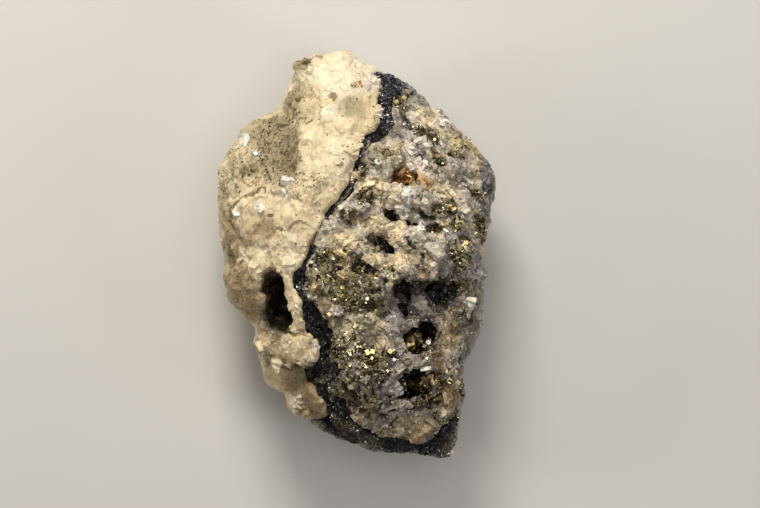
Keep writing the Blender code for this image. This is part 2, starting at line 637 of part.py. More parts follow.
def pocket_crust(name, guide, place, half_widths, turn, height):
    """The crystals that line a hollow, fused into one crust that fits it with a small gap."""
    rng = random.Random(name)
    crust = hollow_cutter(name + ": wall", place, half_widths, turn, height, shrink=CRUST_GAP)
    room = hollow_cutter(
        name + ": room", place, half_widths, turn, height + 1.0, shrink=CRUST_WALL
    )
    half_x, half_y, deep = half_widths
    spin = math.radians(turn)

    def body(shape):
        for step in range(CRUST_CRYSTALS):
            angle = step * GOLDEN_ANGLE
            reach = 0.25 + 0.6 * math.sqrt((step + 0.5) / CRUST_CRYSTALS)
            along = math.cos(angle) * half_x * reach
            across = math.sin(angle) * half_y * reach
            x = place[0] + along * math.cos(spin) - across * math.sin(spin)
            y = place[1] + along * math.sin(spin) + across * math.cos(spin)
            floor = height - (deep - CRUST_WALL) * math.sqrt(1.0 - reach * reach)
            inward = Vector((place[0] - x, place[1] - y, half_x)).normalized()
            turned = turned_towards(inward, rng.uniform(0.0, math.pi), rng, 0.6)
            width = rng.uniform(*CRUST_CRYSTAL_WIDTHS)
            add_cube_crystal(shape, Vector((x, y, floor)), width, turned)

    combine(room, object_from(body, name + " crystals"), "DIFFERENCE", overlapping=True)
    combine(crust, room, "DIFFERENCE")
    skin = copy_of(guide, "sunk skin")
    skin.data.transform(Matrix.Translation((0.0, 0.0, -CRUST_DEPTH)))
    combine(crust, skin, "INTERSECT")
    crust.name = name
    return crust


def finish(obj, finish_material):
    """Scales a piece to metres and gives it its material."""
    keep_largest_piece(obj)
    shape = bmesh.new()
    shape.from_mesh(obj.data)
    bmesh.ops.dissolve_degenerate(shape, dist=0.002, edges=shape.edges)
    bmesh.ops.triangulate(shape, faces=shape.faces)
    shape.to_mesh(obj.data)
    shape.free()
    obj.data.transform(Matrix.Scale(METRES, 4))
    obj.data.materials.clear()
    obj.data.materials.append(finish_material)
    obj.data.shade_flat()


def centre_on_origin(pieces):
    """Sets the middle of the whole stone's box over the origin, with its back at zero height."""
    points = np.vstack([coordinates(piece) for piece in pieces])
    low, high = points.min(axis=0), points.max(axis=0)
    middle = (low + high) / 2.0
    shift = Matrix.Translation((-middle[0], -middle[1], -low[2]))
    for piece in pieces:
        piece.data.transform(shift)


def main():
    remove_everything()
    dolomite_white = material("dolomite cream", (0.78, 0.71, 0.56), 0.5)
    seam_black = material("sulphide black", (0.035, 0.036, 0.045), 0.35, 0.4)
    quartz_grey = material("quartz grey", (0.42, 0.38, 0.33), 0.4)
    pyrite_brass = material("pyrite brass", (0.55, 0.42, 0.18), 0.28, 0.9)
    dark_crystal = material("dark crystal", (0.06, 0.055, 0.06), 0.25, 0.3)

    stone = carve_stone()
    cut_flat_back(stone)
    guide = copy_of(stone, "uncut stone")
    for index, (place, half_widths, turn, lean) in enumerate(CAVITY_LOBES):
        height = surface_height(guide, *place)
        cutter = hollow_cutter(f"cavity lobe {index}", place, half_widths, turn, height, lean)
        combine(stone, cutter, "DIFFERENCE")
    half_kerf = KERF / 2.0
    dolomite = copy_of(stone, "dolomite_mass")
    combine(dolomite, area_cutter("dolomite area", DOLOMITE_AREA, half_kerf), "INTERSECT")
    matrix = copy_of(stone, "quartz_pyrite_matrix")
    combine(matrix, area_cutter("matrix area", MATRIX_AREA, half_kerf), "INTERSECT")
    seam = stone
    seam.name = "dark_sulphide_seam"
    combine(seam, area_cutter("dolomite side", DOLOMITE_AREA, -half_kerf), "DIFFERENCE")
    combine(seam, area_cutter("matrix side", MATRIX_AREA, -half_kerf), "DIFFERENCE")

    crystals = matrix_crystals(guide)
    combine(crystals, area_cutter("matrix limit", MATRIX_AREA, half_kerf), "INTERSECT")
    combine(matrix, crystals, "UNION", overlapping=True)
    crusts = []
    for name, (place, half_widths, turn) in POCKETS.items():
        height = surface_height(guide, *place)
        combine(matrix, hollow_cutter(name, place, half_widths, turn, height), "DIFFERENCE")
        crusts.append(pocket_crust(name, guide, place, half_widths, turn, height))
    for index, (place, half_widths, turn) in enumerate(BARE_POCKETS):
        height = surface_height(guide, *place)
        cutter = hollow_cutter(f"bare pocket {index}", place, half_widths, turn, height)
        combine(matrix, cutter, "DIFFERENCE")
    rhombs = dolomite_crystals(guide)
    combine(rhombs, area_cutter("dolomite limit", DOLOMITE_AREA, half_kerf), "INTERSECT")
    combine(dolomite, rhombs, "UNION", overlapping=True)
    bpy.data.objects.remove(guide)

    finish(dolomite, dolomite_white)
    finish(seam, seam_black)
    finish(matrix, quartz_grey)
    for crust in crusts:
        finish(crust, dark_crystal if crust.name.startswith("dark") else pyrite_brass)
    centre_on_origin([dolomite, seam, matrix, *crusts])


main()
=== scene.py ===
"""Looks of a hand specimen: cream dolomite, a dark sulphide seam, and quartz full of pyrite.

Each mineral's solid is refined into a fine broken skin. Its colours are laid on in named patches,
and its smaller crystals are grown on it one by one. Places on the show face are given as steps
across and down a view from straight above, 0.295 mm each, as (across, down).
"""

import itertools
import math
import random

import bmesh
import bpy
import numpy as np
from mathutils import Matrix, Vector
from mathutils.bvhtree import BVHTree


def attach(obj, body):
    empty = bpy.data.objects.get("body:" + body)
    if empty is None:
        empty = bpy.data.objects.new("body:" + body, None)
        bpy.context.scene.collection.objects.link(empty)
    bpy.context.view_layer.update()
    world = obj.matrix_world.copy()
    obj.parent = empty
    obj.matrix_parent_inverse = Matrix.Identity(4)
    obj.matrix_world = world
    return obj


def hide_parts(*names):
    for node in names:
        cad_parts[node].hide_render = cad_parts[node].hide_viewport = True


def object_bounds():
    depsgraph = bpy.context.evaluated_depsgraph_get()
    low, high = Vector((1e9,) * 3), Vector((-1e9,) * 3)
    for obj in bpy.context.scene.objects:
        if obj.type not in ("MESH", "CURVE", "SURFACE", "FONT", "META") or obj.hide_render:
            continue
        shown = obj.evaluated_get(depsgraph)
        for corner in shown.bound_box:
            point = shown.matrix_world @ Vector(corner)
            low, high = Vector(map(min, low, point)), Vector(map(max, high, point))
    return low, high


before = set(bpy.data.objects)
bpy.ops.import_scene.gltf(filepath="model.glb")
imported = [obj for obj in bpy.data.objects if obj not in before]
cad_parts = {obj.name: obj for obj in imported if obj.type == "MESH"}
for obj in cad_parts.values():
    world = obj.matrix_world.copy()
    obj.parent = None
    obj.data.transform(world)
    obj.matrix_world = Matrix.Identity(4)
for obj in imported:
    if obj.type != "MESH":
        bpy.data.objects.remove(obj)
CAD_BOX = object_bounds()

bl_info = {
    "name": "Dolomite, pyrite and quartz specimen",
    "version": (1, 0, 0),
    "blender": (4, 5, 0),
    "location": "3D View > Sidebar > Specimen",
    "description": "Gives the packed stone its broken skins, colours and crystals",
    "category": "Add Mesh",
}

MM = 0.001
STEP_MM = 0.29484
# The stone's middle and the view's width, in steps
VIEW_MIDDLE = (356.5, 253.5)
VIEW_STEPS = 760.0
LENS_MM = 200.0
SENSOR_MM = 36.0
# Height of the level that the camera frames to scale
FRAMED_HEIGHT_MM = 30.0
# Patches fade in over a band of the stone's side, from this height up
SHOW_FROM_MM = 17.0
SHOW_BAND_MM = 8.0
# How far a dark patch in a hollow, mostly painted shade, runs down from its brim
HOLLOW_REACH_MM = 12.0
# Colours this dark follow the hollows down; the darkest are painted shade
HOLLOW_DARKNESS = 0.3
# How far the patches' outlines wander
WARP_MM = 0.45
# Points under this height stay where the stone rests on the table
RESTING_MM = 0.05
# Width of the faces of the hollows' linings
CRUST_GRAIN_MM = 0.28
# A skin's limit of triangles, and where it is thinned first
SKIN_TRIANGLES = 190_000
COVERED_MM = 0.6
UNDERSIDE_MM = 13.0
# No loose grain grows where the show face drops under this height
LOWEST_GRAIN_MM = 22.0
# Crystals are dropped on the show face from this height
OVERHEAD_MM = 200.0
# Length of the table of random cells, and the steps through it along X, Y and Z
CELL_TABLE = 8192
CELL_STRIDES = np.array([73, 1937, 5471])

# Colours of the minerals, linear, and of the light and shade painted on them
CREAM = (0.78, 0.645, 0.41)
BRIGHT_CREAM = (0.89, 0.80, 0.59)
# White of faces that glint: painted highlights, partly the minerals' own white
GLINT_WHITE = (0.92, 0.89, 0.80)
PINK_WHITE = (0.80, 0.68, 0.60)
TAN = (0.40, 0.29, 0.15)
BROWN_TAN = (0.26, 0.18, 0.09)
OLIVE = (0.16, 0.13, 0.055)
OLIVE_GREY = (0.33, 0.28, 0.16)
GREY = (0.29, 0.25, 0.19)
PALE_GREY = (0.54, 0.49, 0.41)
# Paler quartz of the upper side, partly painted light
PALE_QUARTZ_AND_LIGHT = (0.66, 0.58, 0.45)
LILAC = (0.36, 0.315, 0.315)
# Lilac quartz darkened with painted shade, in and around the hollows
SHADED_LILAC = (0.042, 0.036, 0.038)
OCHRE = (0.44, 0.28, 0.10)
YELLOW = (0.55, 0.45, 0.20)
PEACH = (0.72, 0.42, 0.20)
RUST = (0.20, 0.07, 0.015)
# Black painted as shade into hollows, pits and gaps, and under the ledge
SHADE_BLACK = (0.012, 0.011, 0.010)
SLATE = (0.085, 0.085, 0.09)
SEAM_BLACK = (0.012, 0.013, 0.019)
SEAM_BLUE = (0.034, 0.034, 0.040)
SEAM_BROWN = (0.009, 0.007, 0.005)
SEAM_DUST = (0.04, 0.036, 0.028)
RIM_BROWN = (0.30, 0.24, 0.15)
# Browner quartz of the lower side, partly painted shade
LOWER_BROWN_AND_SHADE = (0.105, 0.082, 0.044)
# Painted shade where the quartz side's skin is sunk
HOLLOW_SHADE = (0.030, 0.023, 0.013)
# Painted shade in the quartz side's cracks
CRACK_SHADE = (0.020, 0.016, 0.010)
# Near black painted as shade in the deep cavity
CAVITY_SHADE = (0.012, 0.008, 0.004)
MILK_WHITE = (0.93, 0.87, 0.75)

# Tones of pyrite: its dark and its bright colour, its roughness and how metallic it is
PYRITE_TONES = {
    "pyrite, bright brass": ((0.45, 0.38, 0.22), (0.90, 0.82, 0.60), 0.10, 1.0),
    "pyrite, bronze": ((0.09, 0.075, 0.035), (0.30, 0.25, 0.13), 0.14, 1.0),
    "pyrite specks": ((0.10, 0.075, 0.035), (0.34, 0.28, 0.15), 0.20, 0.55),
    "pyrite, gold": ((0.66, 0.45, 0.17), (0.98, 0.82, 0.48), 0.20, 0.7),
    "pyrite, silvery": ((0.50, 0.49, 0.44), (0.92, 0.90, 0.82), 0.20, 1.0),
}
# The linings of the hollows: colour, how metallic it is, and slot. The darkest are near black,
# partly their crystals' own colour and partly painted shade of the deep hollows
CRUSTS = {
    "pyrite_crust_upper_pocket": ((0.20, 0.085, 0.02), 0.35, "pyrite"),
    "pyrite_crust_middle_pocket": ((0.022, 0.019, 0.011), 0.85, "pyrite"),
    "pyrite_crust_lower_pocket": ((0.016, 0.015, 0.012), 0.85, "pyrite"),
    "dark_crust_side_pocket": ((0.006, 0.0055, 0.007), 0.2, "dark_crystals"),
}

# Patches of colour on the dolomite: colour, across, down, half across, half down, turn, strength
DOLOMITE_PATCHES = [
    # The bright cream over the top of the slab is partly painted light, where the key light falls
    (BRIGHT_CREAM, 345, 75, 38, 22, 0, 1.0), (BRIGHT_CREAM, 330, 115, 9, 8, 20, 0.8),
    (BRIGHT_CREAM, 330, 160, 26, 26, 0, 0.25), (BRIGHT_CREAM, 292, 250, 10, 22, 0, 0.55),
    (PINK_WHITE, 372, 82, 6, 16, -30, 0.8), (PINK_WHITE, 379, 118, 5, 9, 0, 0.6),
    (PINK_WHITE, 350, 176, 5, 22, 28, 0.6), (OLIVE_GREY, 352, 108, 13, 10, -20, 0.6),
    (OLIVE_GREY, 293, 100, 13, 11, 0, 0.75), (GREY, 289, 104, 6, 5, 0, 0.6),
    (OLIVE_GREY, 308, 112, 8, 6, 0, 0.35), (BROWN_TAN, 333, 99, 4, 3, 30, 0.9),
    (OLIVE_GREY, 303, 64, 11, 8, -20, 0.85), (OLIVE, 304, 61, 8, 4, 0, 0.85),
    (BROWN_TAN, 318, 57, 6, 3, 0, 0.8), (OLIVE_GREY, 296, 74, 6, 6, 0, 0.5),
    (TAN, 322, 127, 6, 2, 0, 0.5), (OLIVE_GREY, 262, 150, 38, 34, -25, 0.6),
    # The olive grey along the bowl's right side, under the slab's edge, is partly painted shadow
    (OLIVE_GREY, 272, 134, 22, 14, 10, 0.5), (OLIVE_GREY, 285, 150, 15, 36, 0, 0.8),
    (OLIVE, 288, 150, 8, 28, 0, 0.25), (BROWN_TAN, 292, 165, 7, 14, 0, 0.55),
    (OLIVE, 270, 121, 6, 4, 0, 0.5), (OLIVE, 246, 172, 5, 4, 0, 0.75),
    # The white patches are cleavage faces that glint: painted highlights, partly the dolomite's
    # own white
    (CREAM, 240, 150, 10, 14, 30, 0.7), (GLINT_WHITE, 245, 140, 6, 6, 30, 1.0),
    (GLINT_WHITE, 258, 154, 3, 3, 0, 1.0), (GLINT_WHITE, 287, 184, 8, 4, 12, 1.0),
    (GLINT_WHITE, 283, 194, 6, 3, 10, 0.9), (GLINT_WHITE, 261, 207, 4, 7, 0, 0.9),
    (GLINT_WHITE, 236, 214, 4, 6, 0, 0.9), (TAN, 246, 226, 24, 18, 0, 0.45),
    (BROWN_TAN, 268, 229, 11, 11, 0, 0.75), (TAN, 252, 210, 10, 4, 0, 0.4),
    (OLIVE_GREY, 228, 225, 6, 42, 4, 0.85), (TAN, 232, 240, 8, 24, 6, 0.6),
    (OLIVE, 233, 256, 3, 14, 12, 0.75), (TAN, 242, 243, 14, 3, 18, 0.4),
    (TAN, 240, 292, 20, 30, 15, 0.95), (BROWN_TAN, 245, 283, 9, 6, -20, 0.6),
    (BROWN_TAN, 256, 312, 8, 9, 20, 0.6), (BROWN_TAN, 262, 330, 11, 6, -20, 0.7),
    (OLIVE, 276, 336, 7, 4, 0, 0.75), (BROWN_TAN, 297, 331, 12, 3, -8, 0.85),
    # The thin white line is a painted highlight along the ledge's rim
    (TAN, 302, 352, 18, 8, -5, 0.25), (GLINT_WHITE, 304, 356, 10, 1.5, -8, 0.5),
    (CREAM, 296, 315, 8, 18, 0, 0.9), (PINK_WHITE, 318, 338, 6, 14, -20, 0.7),
    (OLIVE_GREY, 312, 338, 2, 10, -20, 0.6), (TAN, 262, 362, 13, 30, -10, 0.25),
    (BROWN_TAN, 257, 345, 6, 9, 0, 0.6), (CREAM, 265, 346, 6, 5, 0, 0.7),
    (BROWN_TAN, 268, 357, 4, 9, 0, 0.9), (BROWN_TAN, 257, 377, 7, 6, 0, 0.6),
    (OLIVE, 284, 366, 5, 3, -10, 0.8), (CREAM, 277, 364, 7, 3, -40, 0.6),
    (YELLOW, 277, 377, 9, 8, 0, 0.35), (BRIGHT_CREAM, 276, 364, 6, 4, -40, 0.8),
    # Painted shadow under the ledge: the black and the olive beside it
    (SHADE_BLACK, 310, 364, 14, 4, 10, 0.9), (OLIVE, 297, 367, 12, 4, 0, 0.9),
    (BROWN_TAN, 300, 380, 16, 16, 0, 0.9), (OLIVE, 306, 375, 9, 11, 20, 0.8),
    (TAN, 310, 402, 16, 15, 0, 0.95), (BROWN_TAN, 308, 394, 10, 4, -40, 0.8),
    (BROWN_TAN, 300, 402, 5, 10, 30, 0.5), (PINK_WHITE, 295, 402, 7, 9, -30, 0.7),
    (TAN, 303, 408, 8, 6, -20, 0.6), (BROWN_TAN, 320, 420, 14, 7, -35, 0.9),
    (BROWN_TAN, 316, 397, 10, 12, -20, 0.7),
]
# Patches of other minerals across the seam, given the same way
SEAM_PATCHES = [
    (SLATE, 409, 84, 12, 6, -40, 0.9), (PALE_GREY, 413, 89, 8, 4, -45, 0.5),
    (GREY, 398, 75, 10, 3, -15, 0.4), (OLIVE_GREY, 346, 198, 2.5, 20, -34, 0.7),
    (OLIVE_GREY, 364, 157, 3, 14, -16, 0.7), (CREAM, 354, 177, 6, 6, 0, 1.0),
    (CREAM, 322, 230, 8, 7, 35, 0.95), (CREAM, 317, 239, 7, 5, 30, 0.9),
    (OLIVE_GREY, 323, 376, 6, 4, 0, 0.7), (OLIVE_GREY, 336, 386, 8, 6, 30, 0.7),
    (OLIVE_GREY, 345, 376, 9, 5, 20, 0.7), (BROWN_TAN, 345, 422, 16, 5, -30, 0.35),
    (OLIVE, 372, 438, 14, 4, -12, 0.4),
]
# The pale tip of the seam's lower corner
SEAM_TIP = (452, 453, 4, 4, 0)
# Patches of colour on the quartz and pyrite side, given the same way
# Among these, the black and shaded lilac patches are painted shade in hollows and gaps, and the
# white ones are painted glints, partly white quartz
MATRIX_PATCHES = [
    (GREY, 412, 92, 16, 14, -30, 0.8), (SHADE_BLACK, 393, 134, 11, 6, 25, 0.6),
    (SLATE, 402, 130, 8, 7, 25, 0.85), (SLATE, 399, 112, 4, 18, 0, 0.6),
    (SLATE, 400, 84, 10, 7, -30, 0.8), (SLATE, 424, 102, 8, 5, -45, 0.6),
    (PALE_GREY, 418, 108, 12, 10, -30, 0.6), (CREAM, 426, 117, 13, 9, -35, 0.9),
    (SLATE, 446, 121, 9, 4, -45, 0.7), (GLINT_WHITE, 443, 126, 8, 3, -30, 1.0),
    (CREAM, 446, 136, 14, 6, -35, 0.8), (YELLOW, 459, 143, 8, 7, -30, 0.7),
    (OLIVE, 455, 132, 8, 3, -35, 0.6), (OLIVE, 465, 145, 7, 5, -50, 0.6),
    (YELLOW, 472, 146, 6, 11, 25, 0.8), (YELLOW, 475, 172, 5, 17, 0, 0.6),
    (YELLOW, 471, 218, 4, 17, 0, 0.6), (SLATE, 488, 178, 7, 26, 15, 0.85),
    (SLATE, 484, 207, 8, 14, 0, 0.7), (GREY, 397, 122, 5, 14, 0, 0.7),
    (OLIVE, 401, 102, 8, 9, 0, 0.65), (SHADE_BLACK, 403, 115, 2, 5, 28, 0.8),
    (PALE_GREY, 410, 132, 8, 8, 0, 0.6), (OLIVE, 421, 134, 13, 5, -30, 0.95),
    (OLIVE, 433, 141, 5, 6, 0, 0.8), (GLINT_WHITE, 421, 142, 5, 6, 10, 1.0),
    (PINK_WHITE, 410, 150, 6, 14, 22, 0.8), (CREAM, 431, 152, 8, 6, -20, 0.9),
    (PINK_WHITE, 417, 162, 6, 12, 28, 0.75), (LILAC, 424, 160, 6, 8, 0, 0.7),
    (OLIVE, 438, 162, 6, 5, 0, 0.9), (OLIVE, 458, 155, 10, 4, -5, 0.85),
    (GREY, 450, 172, 22, 9, -8, 0.85), (SLATE, 461, 178, 8, 5, 10, 0.6),
    (CREAM, 445, 192, 18, 9, -25, 0.8), (PALE_GREY, 462, 205, 12, 14, 0, 0.6),
    (OLIVE, 398, 166, 9, 5, 25, 0.9), (RUST, 401, 178, 13, 7, 10, 0.95),
    (RUST, 409, 178, 12, 6, -30, 0.95), (SHADE_BLACK, 404, 184, 15, 2.5, -4, 0.9),
    (PEACH, 423, 182, 4, 12, 35, 0.85), (OCHRE, 413, 175, 4, 6, 30, 0.8),
    (YELLOW, 410, 187, 10, 4, 0, 0.6), (CREAM, 393, 152, 8, 6, 0, 0.7),
    (OLIVE_GREY, 382, 152, 12, 7, 0, 0.7), (OLIVE, 384, 153, 6, 3, -10, 0.7),
    (GREY, 388, 171, 8, 9, 0, 0.7), (OLIVE, 365, 168, 7, 8, 0, 0.6),
    (OLIVE, 376, 163, 6, 4, -20, 0.6), (CREAM, 368, 184, 10, 7, 0, 0.85),
    (CREAM, 388, 190, 14, 7, 0, 0.7), (OLIVE, 366, 197, 9, 6, 0, 0.9),
    (LILAC, 361, 210, 6, 9, 0, 0.7), (OLIVE, 368, 206, 6, 7, 0, 0.6),
    (OLIVE_GREY, 354, 217, 8, 10, 25, 0.6), (TAN, 380, 200, 9, 8, 0, 0.4),
    (GLINT_WHITE, 405, 196, 6, 7, 0, 0.9), (PALE_GREY, 417, 199, 9, 8, 0, 0.95),
    (OCHRE, 396, 203, 5, 5, 0, 0.5), (GLINT_WHITE, 402, 213, 3, 7, 0, 0.95),
    (GREY, 411, 214, 9, 7, 0, 0.9), (SHADE_BLACK, 423, 215, 5, 3, -20, 0.9),
    (RUST, 431, 217, 4, 4, 0, 0.9), (OLIVE, 434, 206, 8, 4, 0, 0.8),
    (SHADE_BLACK, 411, 224, 5, 3, -20, 0.9), (GLINT_WHITE, 421, 229, 5, 2, 0, 1.0),
    (SHADE_BLACK, 436, 228, 8, 3, -10, 0.85), (YELLOW, 443, 224, 5, 6, 0, 0.6),
    (PALE_GREY, 416, 238, 16, 6, -15, 0.85), (PALE_GREY, 432, 248, 9, 9, 0, 0.8),
    (CREAM, 375, 222, 18, 7, 10, 0.7), (CREAM, 397, 228, 6, 9, 0, 0.9),
    (OLIVE, 389, 214, 6, 4, -20, 0.9), (SHADE_BLACK, 390, 216, 3, 2, -20, 0.9),
    (PALE_GREY, 360, 247, 11, 11, 0, 0.7), (PEACH, 389, 238, 7, 5, 0, 0.35),
    (BROWN_TAN, 379, 241, 16, 9, -42, 0.8), (OLIVE, 374, 243, 9, 6, -42, 0.9),
    (SHADE_BLACK, 387, 248, 9, 6, -42, 1.0), (SHADE_BLACK, 372, 236, 4, 2, -40, 0.8),
    (OLIVE_GREY, 411, 256, 8, 8, 0, 0.9), (CREAM, 397, 262, 12, 10, 0, 0.8),
    (CREAM, 372, 257, 10, 6, -25, 0.8), (PEACH, 424, 271, 7, 7, 0, 0.6),
    (CREAM, 428, 258, 5, 8, 0, 0.8), (OLIVE, 448, 209, 8, 9, 0, 0.9),
    (OLIVE, 458, 225, 9, 6, 0, 0.85), (LILAC, 459, 236, 8, 5, 0, 0.6),
    (OLIVE, 461, 252, 8, 16, -10, 0.9), (OLIVE, 480, 229, 7, 13, 10, 0.9),
    (OLIVE, 477, 195, 9, 5, 0, 0.7), (SHADED_LILAC, 446, 264, 9, 12, 0, 0.6),
    (LILAC, 474, 268, 10, 18, 0, 0.75), (GREY, 478, 292, 6, 16, 0, 0.7),
    (OLIVE, 466, 285, 9, 8, 0, 0.7), (GLINT_WHITE, 468, 302, 4, 6, 0, 1.0),
    (GLINT_WHITE, 478, 272, 3, 4, 0, 0.6), (SHADED_LILAC, 424, 292, 34, 15, -4, 1.0),
    (SHADE_BLACK, 410, 282, 13, 4, 2, 0.9), (SHADE_BLACK, 440, 283, 13, 5, -6, 0.9),
    (SHADE_BLACK, 450, 291, 5, 10, 0, 0.8), (SHADE_BLACK, 404, 289, 9, 10, 0, 0.8),
    (SHADE_BLACK, 441, 294, 18, 10, 8, 0.8), (SHADE_BLACK, 406, 308, 10, 9, -20, 0.9),
    (SHADED_LILAC, 400, 320, 7, 9, 0, 0.7), (LILAC, 398, 300, 9, 3, -25, 0.9),
    (LILAC, 416, 295, 11, 3, -18, 0.9), (PALE_GREY, 420, 304, 9, 5, -20, 0.8),
    (SHADE_BLACK, 425, 322, 9, 6, 0, 0.8), (SHADED_LILAC, 425, 314, 24, 6, 0, 0.9),
    (CREAM, 341, 235, 16, 4, 0, 0.95), (CREAM, 323, 236, 6, 8, -30, 0.8),
    (CREAM, 360, 176, 5, 5, 0, 0.8), (OLIVE, 338, 216, 8, 5, -35, 0.7),
    (CREAM, 350, 243, 14, 6, -8, 0.85), (OLIVE_GREY, 340, 275, 32, 26, 0, 0.8),
    (OLIVE, 342, 284, 26, 12, 0, 0.6), (TAN, 340, 252, 14, 6, -15, 0.6),
    (TAN, 346, 262, 12, 5, 0, 0.6), (SHADED_LILAC, 360, 267, 7, 5, 0, 0.85),
    (SHADE_BLACK, 338, 267, 3, 2, 50, 0.9), (SHADE_BLACK, 321, 259, 5, 3, 0, 0.8),
    (TAN, 372, 275, 10, 5, 0, 0.7), (SHADE_BLACK, 373, 289, 8, 3, -5, 0.95),
    (OLIVE, 362, 300, 22, 7, 0, 0.8), (SHADE_BLACK, 354, 302, 5, 4, 0, 0.7),
    (SHADE_BLACK, 369, 303, 5, 3, 0, 0.7), (OLIVE_GREY, 352, 330, 28, 22, 0, 0.7),
    (CREAM, 325, 305, 10, 5, 0, 0.5), (PALE_GREY, 356, 315, 9, 5, 0, 0.6),
    (YELLOW, 356, 325, 9, 5, 0, 0.5), (CREAM, 372, 312, 6, 5, 0, 0.7),
    (CREAM, 384, 325, 7, 6, 0, 0.8), (CREAM, 381, 345, 6, 14, 0, 0.75),
    (LILAC, 394, 313, 7, 9, 0, 0.9), (LILAC, 390, 330, 14, 12, 0, 0.5),
    (PALE_GREY, 398, 345, 11, 9, 0, 0.7), (OLIVE, 338, 348, 11, 10, 0, 0.9),
    (OLIVE, 371, 352, 9, 5, 0, 0.8), (OLIVE, 374, 364, 10, 5, 0, 0.7),
    (OLIVE, 372, 380, 16, 5, 0, 0.75), (OLIVE_GREY, 365, 388, 16, 8, 0, 0.5),
    (SLATE, 391, 357, 7, 8, 0, 0.8), (OLIVE, 407, 358, 6, 5, 35, 0.9),
    (SHADE_BLACK, 427, 330, 9, 11, 0, 1.0), (SHADE_BLACK, 416, 345, 9, 8, 0, 0.8),
    (OLIVE, 427, 350, 5, 6, 0, 0.9), (LILAC, 412, 352, 8, 3, -20, 0.5),
    (SHADE_BLACK, 412, 375, 13, 8, 25, 1.0), (OLIVE, 421, 388, 12, 9, 0, 0.85),
    (PALE_GREY, 412, 364, 16, 3, 28, 0.7), (LILAC, 388, 388, 16, 12, 20, 0.8),
    (PINK_WHITE, 398, 386, 5, 5, 0, 0.9), (PINK_WHITE, 402, 402, 9, 6, -20, 0.8),
    (SLATE, 422, 404, 14, 4, 20, 0.9), (LILAC, 390, 408, 12, 8, 0, 0.7),
    (BROWN_TAN, 436, 352, 3, 26, 4, 0.7), (OCHRE, 441, 345, 4, 28, 2, 0.75),
    (CREAM, 447, 340, 5, 22, 0, 0.5), (OCHRE, 452, 330, 5, 16, 0, 0.7),
    (OLIVE, 457, 312, 10, 6, 0, 0.6), (PINK_WHITE, 445, 360, 4, 15, 0, 0.5),
    (GREY, 468, 330, 8, 24, 0, 0.7), (SLATE, 465, 355, 6, 12, 0, 0.6),
    (OCHRE, 446, 396, 9, 14, 0, 0.8), (CREAM, 441, 404, 4, 10, 0, 0.5),
    (OLIVE, 462, 388, 4, 9, 0, 0.8), (OLIVE, 437, 382, 8, 6, 0, 0.5),
    (GREY, 461, 402, 5, 10, 0, 0.8), (OLIVE_GREY, 348, 380, 8, 8, -45, 0.6),
    (TAN, 362, 402, 5, 16, 40, 0.8), (SHADE_BLACK, 368, 398, 2, 12, 40, 0.8),
    (OCHRE, 357, 412, 5, 11, 45, 0.7), (SHADE_BLACK, 351, 408, 3, 13, 42, 0.8),
    (OLIVE, 348, 392, 4, 14, 40, 0.8), (PALE_GREY, 374, 425, 8, 8, 0, 0.7),
    (OLIVE_GREY, 382, 436, 8, 5, 0, 0.6), (TAN, 412, 423, 24, 11, 0, 0.7),
    (BROWN_TAN, 378, 432, 12, 7, -10, 0.6), (PALE_GREY, 405, 430, 14, 3, -8, 0.5),
    (OCHRE, 413, 436, 9, 5, 10, 0.8), (PINK_WHITE, 455, 438, 3, 10, 10, 0.8),
]
# Where pyrite crowds the quartz: across, down, half across, half down, turn, share
PYRITE_CROWDS = [
    (421, 134, 13, 6, -30, 0.8), (433, 141, 5, 6, 0, 0.6), (401, 101, 7, 8, 0, 0.5),
    (456, 154, 10, 4, 0, 0.6), (464, 147, 6, 4, 0, 0.5), (438, 162, 5, 5, 0, 0.7),
    (376, 163, 6, 4, 0, 0.6), (363, 170, 6, 7, 0, 0.6), (366, 198, 8, 9, 0, 0.8),
    (384, 154, 7, 4, 0, 0.5), (350, 216, 8, 9, 20, 0.7), (447, 207, 7, 7, 0, 0.9),
    (457, 224, 9, 7, 0, 0.8), (436, 228, 9, 5, 0, 0.8), (434, 210, 6, 5, 0, 0.6),
    (461, 252, 9, 17, -10, 0.85), (480, 229, 7, 14, 10, 0.85), (477, 195, 9, 5, 0, 0.6),
    (466, 285, 9, 8, 0, 0.6), (458, 312, 9, 6, 0, 0.5), (340, 275, 32, 24, 0, 0.42),
    (362, 300, 24, 10, 0, 0.6), (345, 345, 16, 14, 0, 0.7), (370, 353, 10, 8, 0, 0.8),
    (374, 368, 14, 14, 0, 0.6), (352, 372, 14, 10, -30, 0.45), (390, 355, 8, 8, 0, 0.5),
    (426, 350, 7, 8, 0, 0.6), (418, 392, 16, 10, 0, 0.8), (440, 380, 10, 8, 0, 0.4),
    (462, 388, 4, 10, 0, 0.8), (451, 374, 4, 8, 0, 0.7), (384, 400, 16, 10, 0, 0.35),
    (355, 395, 10, 14, 40, 0.4), (330, 255, 12, 10, 0, 0.5), (440, 412, 12, 8, 0, 0.35),
    (456, 420, 4, 12, 0, 0.5), (388, 275, 12, 8, 0, 0.4), (405, 282, 14, 4, 0, 0.4),
]
